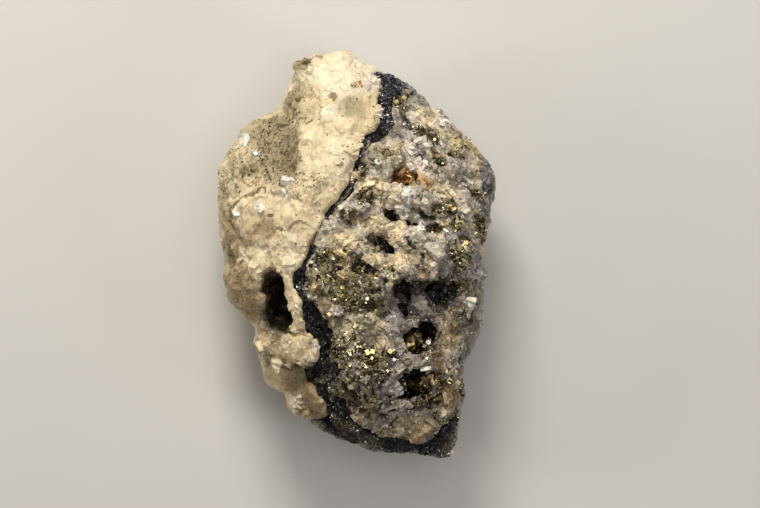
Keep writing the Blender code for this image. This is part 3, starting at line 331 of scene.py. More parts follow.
# Small hollows of the quartz side: across, down, half across, half down, turn, depth in mm
MATRIX_PITS = [
    (390, 215, 6, 3.5, -20, 2.2), (383, 247, 14, 5, -42, 2.0), (411, 224, 5, 3, -20, 1.6),
    (423, 216, 5, 3.5, -20, 1.8), (373, 289, 8, 4, -5, 1.8), (360, 267, 8, 4, 0, 1.5),
    (403, 290, 7, 9, 0, 1.6), (441, 292, 14, 8, 5, 1.6), (423, 286, 26, 6, 0, 1.1),
    (404, 308, 6, 7, 0, 2.0), (338, 267, 3, 3, 50, 1.2), (321, 259, 5, 3, 0, 1.2),
    (404, 116, 2.5, 6, 28, 1.0), (354, 302, 5, 4, 0, 1.2), (369, 303, 5, 4, 0, 1.3),
    (391, 357, 7, 6, 0, 1.2), (427, 329, 9, 9, 0, 2.0), (411, 375, 12, 7, 25, 2.0),
    (480, 226, 5, 6, 0, 1.2), (424, 405, 13, 3, 20, 1.6), (350, 388, 3, 14, 42, 1.2),
    (448, 208, 5, 4, 0, 1.0), (366, 197, 6, 4, 0, 1.0), (361, 407, 4, 12, 42, 1.3),
    (437, 229, 7, 3, -10, 1.0),
]
# Cracks and gaps between the quartz grains, sunk and darkened with painted shade: corners, across
# and down
MATRIX_CRACKS = [
    [(397, 106), (401, 112), (405, 119)], [(404, 118), (409, 126), (412, 131)],
    [(428, 128), (433, 136), (438, 144)], [(437, 156), (436, 163), (441, 167)],
    [(421, 150), (419, 158), (423, 165)], [(441, 200), (446, 208), (452, 216)],
    [(391, 184), (404, 180), (418, 185)], [(384, 212), (392, 218)], [(407, 223), (416, 226)],
    [(418, 209), (424, 215), (432, 218)], [(425, 228), (440, 231)],
    [(403, 238), (413, 246), (420, 249)], [(421, 250), (421, 263)], [(466, 186), (476, 197)],
    [(437, 272), (441, 280)], [(366, 262), (372, 270), (382, 270)], [(363, 346), (372, 362)],
    [(349, 370), (356, 384), (366, 396)], [(352, 396), (361, 408), (368, 416)],
    [(369, 392), (380, 380), (394, 370)], [(388, 425), (398, 414)],
    [(378, 416), (392, 408), (408, 404), (428, 406)], [(440, 384), (434, 396), (424, 404)],
    [(403, 352), (412, 344)], [(333, 262), (339, 268)], [(316, 250), (324, 260)],
]
# A fine dark line that curves down the dolomite's left flank: corners, across and down
HAIRLINE = [(264, 190), (256, 194), (246, 197), (238, 201), (233, 208), (231, 217), (233, 226)]
# Small hollows of the dolomite side, given as those of the quartz side are
DOLOMITE_PITS = [
    (333, 99, 4, 3, 30, 0.9), (272, 216, 2.4, 2.4, 0, 0.8), (282, 231, 4, 2, -15, 0.9),
    (243, 238, 3, 2, 30, 0.8), (239, 221, 2.4, 2, 30, 0.7), (306, 193, 2.4, 2, 0, 0.6),
    (233, 256, 3, 12, 12, 0.8), (297, 331, 12, 3, -8, 1.2), (276, 336, 7, 3, 0, 0.8),
    (231, 215, 2, 16, 6, 0.6), (278, 357, 13, 2, -32, 0.9), (290, 366, 12, 3, -5, 1.0),
    (302, 398, 10, 3, -35, 0.9), (283, 372, 2.5, 8, 10, 0.7), (306, 147, 3, 2.5, 0, 0.7),
    (313, 340, 2, 12, -18, 0.8), (248, 312, 10, 3, -12, 0.8),
]
# The deep cavity: its two lobes, and the height in mm under which its painted shade starts
CAVITY = [(274, 284, 18, 17, 0), (280, 312, 18, 22, 8)]
CAVITY_BRIM_MM = 47.0
# Where dark specks of pyrite are sown on the dolomite, and how densely
DOLOMITE_SPECKS = [
    (280, 150, 18, 34, 0, 1.0), (258, 160, 28, 24, 0, 0.55), (246, 172, 8, 5, 0, 1.0),
    (228, 182, 10, 14, 0, 0.5), (306, 61, 7, 5, 0, 0.9), (357, 87, 6, 4, 0, 1.0),
    (310, 180, 16, 9, 0, 0.45), (296, 198, 8, 5, 0, 0.5), (300, 118, 14, 8, 0, 0.5),
    (272, 122, 20, 6, 0, 0.5), (232, 262, 5, 12, 10, 0.6), (262, 280, 9, 5, 0, 0.5),
    (276, 336, 10, 5, 0, 0.6), (304, 97, 8, 7, 0, 0.4), (262, 243, 16, 5, 0, 0.2),
    (300, 150, 90, 90, 0, 0.035), (260, 300, 60, 60, 0, 0.03),
]
# Where broken grains of quartz, dolomite and sulphide stand proud, and how densely
MATRIX_SHARDS = [
    (425, 110, 26, 12, -38, 1.0), (450, 135, 22, 10, -38, 1.0), (412, 150, 8, 22, 28, 1.0),
    (450, 172, 30, 12, -10, 0.7), (384, 155, 14, 8, 0, 0.8), (388, 190, 24, 10, 0, 0.8),
    (445, 192, 24, 9, -25, 0.9), (410, 202, 16, 12, 0, 1.2), (470, 205, 12, 26, 0, 0.8),
    (400, 232, 34, 9, -10, 1.0), (360, 247, 16, 12, 0, 1.0), (412, 258, 26, 14, 0, 1.0),
    (340, 238, 22, 6, -8, 1.0), (472, 270, 10, 26, 0, 0.9), (342, 275, 32, 22, 0, 0.6),
    (395, 275, 26, 6, 0, 0.8), (425, 302, 16, 6, 0, 0.8), (468, 312, 9, 14, 0, 1.0),
    (360, 318, 34, 14, 0, 0.6), (394, 325, 14, 20, 0, 1.0), (445, 345, 14, 34, 0, 0.8),
    (385, 375, 34, 20, 0, 0.7), (395, 402, 24, 14, 0, 1.0), (446, 400, 14, 18, 0, 0.9),
    (360, 405, 16, 22, 40, 0.9), (395, 428, 32, 9, 0, 0.8), (484, 185, 9, 34, 8, 0.8),
]
DOLOMITE_SHARDS = [
    (345, 66, 30, 12, 0, 0.3), (372, 88, 7, 24, -24, 1.0), (305, 68, 12, 10, 0, 1.4),
    (298, 100, 12, 12, 0, 1.2), (335, 100, 30, 16, 0, 0.12), (240, 145, 12, 24, 35, 0.5),
    (286, 186, 16, 5, 10, 1.6), (230, 215, 6, 26, 0, 0.7), (262, 125, 30, 8, 20, 0.7),
    (345, 170, 6, 30, 30, 0.3), (244, 268, 20, 8, 0, 0.4), (243, 300, 16, 26, 15, 0.35),
    (290, 268, 14, 8, 0, 0.6), (296, 310, 8, 22, 0, 0.8), (300, 350, 26, 12, -8, 0.12),
    (262, 350, 9, 18, 0, 1.0), (276, 366, 12, 12, 0, 0.8), (319, 352, 5, 8, 0, 1.6),
    (298, 380, 18, 18, 0, 0.6), (312, 402, 16, 16, 0, 0.6), (322, 420, 18, 8, -35, 0.8),
]
# The dolomite's jagged edge against the seam
SEAM_TEETH = [
    (366, 62), (375, 72), (379, 88), (380, 100), (379, 112), (374, 124), (363, 134), (359, 146),
    (354, 162),
]
# Large split grains of quartz: across, down, width in mm and the way each is drawn out
QUARTZ_BLOCKS = [
    (430, 117, 3.2, (0.7, -0.7, 0.3)), (443, 134, 3.4, (0.7, -0.7, 0.2)),
    (419, 150, 2.8, (0.5, -0.9, 0.3)), (410, 150, 2.6, (0.5, -0.9, 0.3)),
    (432, 151, 2.8, (0.7, -0.6, 0.3)), (417, 164, 2.8, (0.4, -0.9, 0.3)),
    (455, 163, 3.4, (0.9, -0.3, 0.3)), (447, 175, 4.0, (0.9, -0.3, 0.3)),
    (467, 183, 3.4, (0.7, -0.6, 0.3)), (435, 186, 3.2, (0.6, -0.8, 0.3)),
    (449, 194, 3.6, (0.8, -0.5, 0.3)), (462, 206, 3.6, (0.5, -0.8, 0.4)),
    (406, 197, 3.6, (0.2, -0.5, 0.9)), (417, 200, 4.2, (-0.2, -0.4, 0.9)),
    (404, 214, 2.8, (0.1, -1.0, 0.4)), (412, 215, 3.2, (0.5, -0.8, 0.4)),
    (388, 190, 3.4, (0.9, -0.2, 0.5)), (369, 184, 3.0, (0.9, 0.3, 0.5)),
    (386, 172, 3.0, (0.3, -0.9, 0.4)), (393, 152, 2.6, (0.9, 0.3, 0.4)),
    (378, 222, 3.6, (0.9, -0.2, 0.3)), (397, 229, 3.2, (0.3, -0.9, 0.4)),
    (362, 247, 3.8, (0.6, -0.7, 0.4)), (416, 238, 3.8, (0.9, 0.3, 0.3)),
    (432, 249, 4.2, (0.5, -0.8, 0.4)), (412, 258, 3.4, (0.3, -0.9, 0.4)),
    (397, 263, 4.2, (0.9, 0.2, 0.3)), (372, 257, 3.4, (0.8, -0.5, 0.3)),
    (342, 237, 3.0, (1.0, 0.1, 0.2)), (352, 244, 3.0, (0.9, -0.3, 0.3)),
    (472, 262, 3.0, (0.2, -1.0, 0.3)), (470, 292, 3.0, (0.2, -1.0, 0.3)),
    (381, 342, 2.6, (0.2, -1.0, 0.3)), (398, 345, 2.8, (0.7, 0.5, 0.4)),
    (396, 318, 2.6, (0.3, -0.9, 0.4)), (446, 336, 2.2, (0.1, -1.0, 0.2)),
    (447, 362, 2.2, (0.1, -1.0, 0.2)), (452, 322, 2.2, (0.1, -1.0, 0.2)),
    (445, 396, 2.8, (0.2, -1.0, 0.3)), (412, 425, 3.4, (0.9, 0.2, 0.3)),
    (376, 426, 2.8, (0.8, -0.4, 0.3)), (361, 403, 2.4, (0.6, -0.8, 0.2)),
    (356, 414, 2.2, (0.6, -0.8, 0.2)), (430, 420, 2.8, (0.9, -0.2, 0.3)),
    (403, 299, 3.4, (0.9, -0.4, 0.2)), (413, 291, 2.8, (0.6, -0.7, 0.3)),
    (426, 299, 3.2, (0.8, -0.5, 0.3)), (411, 311, 2.6, (0.3, -0.9, 0.3)),
    (420, 304, 3.4, (0.8, -0.3, 0.4)), (397, 311, 2.8, (0.4, -0.8, 0.4)),
    (359, 177, 3.4, (-0.9, 0.3, 0.2)), (330, 228, 4.4, (-0.9, 0.3, 0.25)),
    (326, 235, 4.4, (-0.9, 0.2, 0.25)), (323, 242, 3.8, (-0.9, 0.3, 0.25)),
]
SEAM_SHARDS = [
    (388, 84, 14, 12, 0, 1.0), (388, 115, 8, 22, 0, 1.0), (376, 140, 16, 6, 25, 1.0),
    (361, 158, 6, 16, 25, 1.0), (335, 210, 5, 20, 35, 0.8), (318, 252, 6, 12, 0, 1.0),
    (306, 285, 8, 16, 0, 1.0), (318, 318, 12, 12, 0, 1.0), (328, 345, 8, 18, 0, 1.0),
    (326, 380, 18, 20, 0, 1.0), (340, 412, 20, 24, 0, 0.8), (385, 441, 60, 10, 0, 0.6),
    (441, 436, 14, 14, 0, 0.8),
]
# Colours of the crystals that line the hollows, given the same way
CRUST_PATCHES = [
    (PEACH, 403, 172, 4.5, 4.5, 0, 1.0), (RUST, 397, 181, 6, 4, 0, 0.7),
    (OCHRE, 411, 181, 5, 4, -20, 0.8), (OCHRE, 410, 341, 4, 7, 10, 0.9),
    (YELLOW, 417, 336, 3, 4, 20, 0.8), (OLIVE, 427, 343, 5, 7, 0, 0.7),
    (OLIVE, 421, 384, 10, 6, 0, 0.9), (OCHRE, 426, 378, 6, 5, 0, 0.8),
    (GREY, 402, 384, 5, 5, 0, 0.7), (SHADED_LILAC, 434, 296, 10, 5, 0, 0.5),
]
# Single crystals that stand out: across, down, width in mm and the way each leans
GOLD_BLADES = [
    (341.5, 253.5, 3.5, (0.9, -0.42, 0.25)), (337, 252, 2.0, (0.6, -0.3, 0.6)),
    (342, 275, 2.6, (0.8, -0.5, 0.3)), (347, 277, 2.8, (0.9, 0.3, 0.3)),
    (351, 275, 1.8, (0.3, 0.8, 0.4)), (340, 272, 1.8, (0.9, 0.1, 0.3)),
    (410, 340, 4.6, (0.15, 0.45, 0.85)), (417, 337, 4.6, (0.1, 0.5, 0.85)),
    (412, 345, 3.8, (-0.1, 0.4, 0.9)), (407, 344, 3.4, (0.2, 0.3, 0.9)),
    (420, 342, 3.2, (0.1, 0.5, 0.8)), (424, 378, 4.2, (0.05, 0.5, 0.85)),
    (429, 376, 4.2, (0.0, 0.5, 0.85)), (420, 383, 3.2, (0.1, 0.4, 0.9)),
    (432, 381, 3.0, (-0.1, 0.5, 0.8)), (402, 171, 2.4, (0.5, 0.7, 0.4)),
    (398, 175, 1.8, (0.3, 0.8, 0.4)), (408, 177, 2.2, (0.9, -0.4, 0.4)),
    (388, 293, 1.6, (0.9, -0.3, 0.4)), (463, 293, 1.8, (0.9, 0.4, 0.3)),
    (380, 152, 1.8, (0.9, -0.3, 0.3)), (374, 329, 1.8, (0.5, 0.8, 0.3)),
    (431, 350, 1.8, (0.9, 0.3, 0.3)), (444, 231, 1.8, (0.8, -0.5, 0.3)),
]
SILVER_BLADES = [
    (425, 366, 3.4, (1.0, 0.12, 0.2)), (396, 385, 2.6, (0.85, 0.5, 0.3)),
    (399, 389, 2.4, (0.85, 0.5, 0.3)), (402, 156, 2.6, (0.4, -0.9, 0.3)),
    (398, 148, 2.0, (0.4, -0.9, 0.3)), (420, 230, 2.6, (1.0, 0.1, 0.3)),
    (446, 187, 2.0, (0.6, -0.8, 0.3)), (440, 126, 2.4, (0.9, -0.3, 0.3)),
    (376, 163, 2.2, (0.9, 0.3, 0.3)), (425, 343, 1.8, (0.6, 0.6, 0.4)),
    (429, 340, 1.6, (0.2, 0.9, 0.4)), (455, 384, 1.8, (0.1, 0.9, 0.3)),
]
GOLD_CUBES = [
    (368, 350, 1.5, (0.1, 0.2, 1.0)), (372, 349, 1.3, (0.0, 0.25, 1.0)),
    (375, 353, 1.0, (0.5, 0.4, 0.7)), (344, 273, 1.6, (0.2, 0.6, 0.8)),
    (352, 281, 1.5, (0.1, 0.3, 0.9)), (453, 209, 1.5, (-0.3, 0.4, 0.8)),
    (447, 206, 1.4, (0.2, 0.5, 0.8)), (457, 247, 1.3, (0.3, 0.5, 0.8)),
    (464, 261, 1.2, (0.1, 0.6, 0.8)), (453, 371, 1.4, (0.2, 0.5, 0.8)),
    (456, 381, 1.3, (0.4, 0.4, 0.8)), (355, 86, 0.9, (0.2, 0.4, 0.9)),
    (359, 84, 0.9, (0.5, 0.2, 0.9)), (361, 87, 0.8, (-0.4, 0.4, 0.9)),
    (357, 89, 0.8, (0.1, 0.6, 0.8)), (403, 99, 1.3, (0.2, 0.5, 0.8)),
    (397, 103, 1.1, (-0.3, 0.5, 0.8)), (343, 287, 1.3, (0.1, 0.5, 0.9)),
    (314, 287, 1.2, (0.2, 0.5, 0.8)), (339, 294, 1.2, (0.3, 0.4, 0.8)),
    (330, 313, 1.1, (0.1, 0.5, 0.8)), (437, 157, 1.3, (0.2, 0.5, 0.8)),
    (413, 92, 0.9, (0.1, 0.5, 0.9)), (398, 146, 1.2, (0.3, 0.5, 0.8)),
    (371, 403, 1.1, (0.1, 0.6, 0.8)), (341, 363, 1.2, (0.2, 0.6, 0.7)),
]
SILVER_CUBES = [
    (427, 341, 1.4, (0.1, 0.5, 0.9)), (429, 347, 1.1, (0.4, 0.4, 0.8)),
    (424, 345, 1.1, (-0.3, 0.5, 0.8)), (433, 331, 0.9, (0.1, 0.4, 0.9)),
    (422, 375, 1.0, (0.2, 0.5, 0.8)), (377, 164, 1.9, (0.1, 0.5, 0.9)),
    (401, 156, 1.2, (0.2, 0.6, 0.8)), (366, 207, 1.6, (0.1, 0.6, 0.8)),
    (362, 201, 1.2, (0.4, 0.5, 0.8)), (372, 212, 1.2, (0.1, 0.6, 0.8)),
    (431, 291, 1.1, (0.1, 0.5, 0.8)), (444, 290, 1.0, (0.2, 0.5, 0.8)),
    (391, 291, 0.9, (0.1, 0.5, 0.9)), (399, 310, 1.0, (0.2, 0.5, 0.9)),
    (387, 318, 1.0, (0.2, 0.5, 0.8)), (393, 358, 1.1, (0.1, 0.5, 0.8)),
    (405, 402, 1.2, (0.2, 0.5, 0.8)), (435, 430, 0.9, (0.2, 0.5, 0.8)),
    (441, 435, 1.0, (0.1, 0.5, 0.9)), (447, 429, 0.9, (0.3, 0.5, 0.8)),
    (485, 228, 1.1, (0.4, 0.5, 0.7)), (470, 171, 1.1, (0.3, 0.6, 0.7)),
    (256, 155, 1.1, (0.1, 0.5, 0.9)), (281, 167, 1.0, (0.3, 0.5, 0.8)),
]
# White grains set where the show face glints brightly: partly milky quartz, partly painted
# highlight
WHITE_SHARDS = [
    (421, 142, 5.0, (0.1, 0.3, 1.0)), (425, 148, 3.0, (0.3, 0.5, 0.8)),
    (443, 126, 3.0, (0.2, 0.4, 0.9)), (434, 123, 2.4, (0.1, 0.4, 0.9)),
    (396, 384, 2.8, (0.85, 0.5, 0.5)), (400, 389, 2.2, (0.85, 0.5, 0.5)),
    (400, 373, 1.5, (0.1, 0.5, 0.9)), (424, 165, 1.8, (0.1, 0.5, 0.9)),
    (469, 300, 3.0, (0.3, 0.5, 0.8)), (458, 309, 1.8, (0.1, 0.5, 0.9)),
    (287, 183, 2.8, (0.1, 0.6, 0.8)), (292, 181, 1.8, (0.3, 0.5, 0.8)),
    (284, 193, 2.0, (0.2, 0.5, 0.9)), (260, 205, 2.2, (-0.1, 0.5, 0.9)),
    (262, 211, 1.6, (0.2, 0.4, 0.9)), (237, 214, 2.0, (0.1, 0.4, 0.9)),
    (405, 194, 3.0, (0.1, 0.4, 0.9)), (399, 187, 1.8, (-0.1, 0.3, 1.0)),
    (402, 211, 2.2, (0.3, 0.3, 0.9)), (411, 150, 2.0, (-0.3, 0.5, 0.9)),
    (385, 197, 2.0, (0.1, 0.5, 0.9)), (445, 182, 1.8, (0.2, 0.5, 0.8)),
    (297, 305, 1.6, (0.1, 0.5, 0.9)), (256, 342, 1.6, (-0.1, 0.5, 0.9)),
]


def plan(across, down):
    """A place on the show face, in millimetres of X and Y."""
    return (across - VIEW_MIDDLE[0]) * STEP_MM, (VIEW_MIDDLE[1] - down) * STEP_MM


def smooth_step(value):
    """0 below 0 and 1 above 1, with an even ramp between."""
    value = np.clip(value, 0.0, 1.0)
    return value * value * (3.0 - 2.0 * value)


def cell_values(points, size, seed):
    """For each point: its cell's four random numbers and the offset from the cell's middle.

    A row of the table holds where the middle lies in the cell, then the four numbers.
    """
    rng = np.random.default_rng(seed)
    table = rng.random((CELL_TABLE, 7))
    base = np.floor(points / size).astype(np.int64)
    nearest = np.full(len(points), 1e9)
    values = np.zeros((len(points), 4))
    offsets = np.zeros((len(points), 3))
    for neighbour in itertools.product((-1, 0, 1), repeat=3):
        cell = base + neighbour
        key = (cell @ CELL_STRIDES) % CELL_TABLE
        offset = points - (cell + table[key, :3]) * size
        distance = (offset**2).sum(axis=1)
        closer = distance < nearest
        nearest = np.where(closer, distance, nearest)
        values[closer] = table[key[closer], 3:]
        offsets[closer] = offset[closer]
    return values, offsets / size


def broken_facets(points, size, seed):
    """Heights of a surface broken into small flat faces, each tilted its own way."""
    values, offsets = cell_values(points, size, seed)
    tilt = (offsets * (values[:, :3] - 0.5)).sum(axis=1)
    return tilt * 1.5 + (values[:, 3] - 0.5) * 0.8


def soft_noise(points, size, seed):
    """Smooth noise of about -1 to 1 that swells and sinks over a given length."""
    rng = np.random.default_rng(seed)
    total = np.zeros(len(points))
    for _ in range(7):
        direction = rng.normal(size=3)
        direction *= rng.uniform(0.7, 1.4) / np.linalg.norm(direction) / size
        bend = rng.normal(size=3) / size * 0.6
        phase = rng.uniform(0.0, 2.0 * math.pi, 2)
        wave = points @ direction * 2.0 * math.pi + phase[0]
        total += np.sin(wave + 1.3 * np.sin(points @ bend * 2.0 * math.pi + phase[1]))
    return total / 3.2


def patch_mask(across, down, patch, softness=0.35):
    """How far a point lies in an elliptic patch: 1 in its middle, 0 outside."""
    u, v, half_u, half_v, turn = patch
    angle = math.radians(turn)
    along = (across - u) * math.cos(angle) + (down - v) * -math.sin(angle)
    over = (across - u) * math.sin(angle) + (down - v) * math.cos(angle)
    reach = np.sqrt((along / half_u) ** 2 + (over / half_v) ** 2)
    return smooth_step((1.0 + softness - reach) / (2.0 * softness))


class Skin:
    """A mineral's solid, refined: its points in millimetres and what is painted on them.

    Its height, which starts at `swell`, is how far each point is to move out along its normal.
    """

    def __init__(self, node, name, grain, smoothing, swell):
        self.node = node
        self.finish = None
        self.obj = fine_copy(node, name, grain, smoothing)
        thin_out_of_sight(self.obj, node, SKIN_TRIANGLES)
        self.points = per_vertex(self.obj, "co") / MM
        self.normals = per_vertex(self.obj, "normal")
        wide, fine = (
            np.stack([soft_noise(self.points, size, seed) for seed in seeds], axis=1)
            for size, seeds in ((5.0, (3, 4)), (1.7, (5, 6)))
        )
        warped = self.points[:, :2] + WARP_MM * (wide + 0.5 * fine)
        self.across = VIEW_MIDDLE[0] + warped[:, 0] / STEP_MM
        self.down = VIEW_MIDDLE[1] - warped[:, 1] / STEP_MM
        self.show = smooth_step((self.points[:, 2] - SHOW_FROM_MM) / SHOW_BAND_MM)
        self.facing = smooth_step((self.normals[:, 2] - 0.02) / 0.28)
        self.colour = np.zeros((len(self.points), 3))
        self.height = np.full(len(self.points), swell)

    def patch(self, patch, softness=0.35, depth=None):
        """A patch on the show face, that runs down from its top only as far as it is wide."""
        mask = patch_mask(self.across, self.down, patch, softness) * self.show
        core = mask > 0.5
        if not core.any():
            return mask
        top = np.percentile(self.points[core, 2], 90)
        reach = depth or 1.5 + 1.7 * max(patch[2:4]) * STEP_MM
        return mask * smooth_step((self.points[:, 2] - top + reach + 2.0) / 2.0)

    def crowding(self, table):
        """How densely something crowds at each point, from patches that end in their share."""
        crowd = np.zeros(len(self.points))
        for *patch, share in table:
            crowd = np.maximum(crowd, self.patch(patch, 0.6) * share)
        return crowd

    def line(self, corners, half_width):
        """A thin chain of corners on the show face: 1 on it, 0 beside it."""
        nearest = np.full(len(self.points), 1e9)
        for (u0, v0), (u1, v1) in itertools.pairwise(corners):
            run = (u1 - u0) ** 2 + (v1 - v0) ** 2
            share = ((self.across - u0) * (u1 - u0) + (self.down - v0) * (v1 - v0)) / run
            share = np.clip(share, 0.0, 1.0)
            away = np.hypot(
                self.across - u0 - share * (u1 - u0), self.down - v0 - share * (v1 - v0)
            )
            nearest = np.minimum(nearest, away)
        return smooth_step(1.5 - nearest / half_width) * self.show * self.facing

    def paint(self, colour, mask):
        """Lays a colour over what is painted, as strongly as the mask says at each point."""
        mask = np.clip(mask, 0.0, 1.0)[:, None]
        self.colour += (np.array(colour) - self.colour) * mask

    def paint_patches(self, table, hollow_darkness=0.0):
        """Paints a table of patches. Dark colours, most of them painted shade in the hollows,
        follow these down.
        """
        for colour, *patch, strength in table:
            depth = HOLLOW_REACH_MM if max(colour) < hollow_darkness else None
            self.paint(colour, self.patch(patch, depth=depth) * strength)

    def carve(self, pits):
        """Sinks small hollows, from patches that end in their depth in mm."""
        for *patch, depth in pits:
            self.height -= depth * self.patch(patch, 0.45, HOLLOW_REACH_MM)

    def crumble(self, crag, *layers):
        """Breaks the surface into facets, each layer given as depth, width and seed."""
        for depth, size, seed in layers:
            self.height += crag * depth * broken_facets(self.points, size, seed)

    def settle(self):
        """Moves the points out along their normals, but not out of the stone's box."""
        moved = self.points + self.normals * self.height[:, None]
        low, high = (np.array(corner) / MM for corner in CAD_BOX)
        moved = np.clip(moved, low, high)
        resting = self.points[:, 2] < RESTING_MM
        moved[resting, 2] = self.points[resting, 2]
        self.obj.data.vertices.foreach_set("co", (moved * MM).ravel())
        self.obj.data.update()
        self.points = moved

    def complete(self, finish, slot, crease, **painted):
        """Settles the skin, keeps what is painted on it and lets it replace its solid."""
        self.settle()
        for name, values in {"stain": self.colour, **painted}.items():
            store(self.obj.data, name, values)
        self.finish = finish
        finish_piece(self.obj, finish, [self.node], crease)


def store(mesh, name, values):
    """Keeps a colour or a number for each point of a mesh, for its finish to read."""
    if values.ndim == 2:
        attribute = mesh.attributes.new(name, "FLOAT_COLOR", "POINT")
        four = np.ones((len(values), 4))
        four[:, :3] = values
        attribute.data.foreach_set("color", four.ravel())
    else:
        attribute = mesh.attributes.new(name, "FLOAT", "POINT")
        attribute.data.foreach_set("value", values)


def per_vertex(obj, what):
    """A vector of each vertex, such as its place or its normal."""
    flat = np.empty(len(obj.data.vertices) * 3)
    obj.data.vertices.foreach_get(what, flat)
    return flat.reshape(-1, 3)


def new_object(name, data):
    """An object of the scene, made from a mesh, a lamp or a camera."""
    obj = bpy.data.objects.new(name, data)
    bpy.context.scene.collection.objects.link(obj)
    return obj


def mesh_of(shape, name):
    """The mesh of a bmesh, which is freed."""
    mesh = bpy.data.meshes.new(name)
    shape.to_mesh(mesh)
    shape.free()
    return mesh


def bake_modifiers(obj):
    """Replaces an object's mesh by what its modifiers make of it."""
    graph = bpy.context.evaluated_depsgraph_get()
    baked = bpy.data.meshes.new_from_object(obj.evaluated_get(graph))
    obj.modifiers.clear()
    obj.data = baked


def fine_copy(node, name, grain, smoothing):
    """A copy of a node's mesh with its doubles merged, filled with small even faces."""
    shape = bmesh.new()
    shape.from_mesh(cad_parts[node].data)
    bmesh.ops.remove_doubles(shape, verts=shape.verts, dist=1e-6)
    obj = new_object(name, mesh_of(shape, name))
    fine = obj.modifiers.new("grain", "REMESH")
    fine.mode = "VOXEL"
    fine.voxel_size = grain * MM
    soft = obj.modifiers.new("soft", "SMOOTH")
    soft.factor = 0.5
    soft.iterations = smoothing
    bake_modifiers(obj)
    obj.data.name = name
    return obj


def thin_out_of_sight(obj, node, limit):
    """Thins a skin to a given number of triangles.

    Decimate is weighted to take more where another mineral covers the skin, and on its underside.
    """
    triangles = sum(len(face.vertices) - 2 for face in obj.data.polygons)
    if triangles <= limit:
        return
    shape = bmesh.new()
    for name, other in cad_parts.items():
        if name != node:
            shape.from_mesh(other.data)
    tree = BVHTree.FromBMesh(shape)
    shape.free()
    covered, under = [], []
    for vert in obj.data.vertices:
        if tree.find_nearest(vert.co, COVERED_MM * MM)[0] is not None:
            covered.append(vert.index)
        elif vert.co.z < UNDERSIDE_MM * MM:
            under.append(vert.index)
    group = obj.vertex_groups.new(name="out of sight")
    group.add(covered, 1.0, "REPLACE")
    group.add(under, 0.8, "REPLACE")
    thin = obj.modifiers.new("thin", "DECIMATE")
    thin.ratio = limit / triangles
    thin.vertex_group = group.name
    bake_modifiers(obj)
    obj.vertex_groups.clear()


def finish_piece(obj, material, nodes=(), crease=None):
    """Gives a piece its finish, its place on the stone and its creases."""
    obj.data.materials.clear()
    obj.data.materials.append(material)
    if crease is None:
        obj.data.shade_flat()
    else:
        obj.data.shade_smooth()
        obj.data.set_sharp_from_angle(angle=math.radians(crease))
    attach(obj, "root")
    if nodes:
        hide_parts(*nodes)


class Socket:
    """An output socket of a finish. Arithmetic on it adds Math nodes."""

    def __init__(self, finish, socket):
        self.finish = finish
        self.socket = socket

    def _math(self, operation, *values):
        settings = {"operation": operation}
        return self.finish.add("ShaderNodeMath", settings, dict(enumerate(values)))

    def __add__(self, other):
        return self._math("ADD", self, other)

    def __sub__(self, other):
        return self._math("SUBTRACT", self, other)

    def __rsub__(self, other):
        return self._math("SUBTRACT", other, self)

    def __mul__(self, other):
        return self._math("MULTIPLY", self, other)

    def above(self, edge, width):
        """0 under the edge and 1 over it, with a ramp of the given width."""
        return self.finish.add(
            "ShaderNodeMapRange",
            {"interpolation_type": "SMOOTHSTEP"},
            {"Value": self, "From Min": edge - width, "From Max": edge + width},
        )

    __radd__ = __add__
    __rmul__ = __mul__


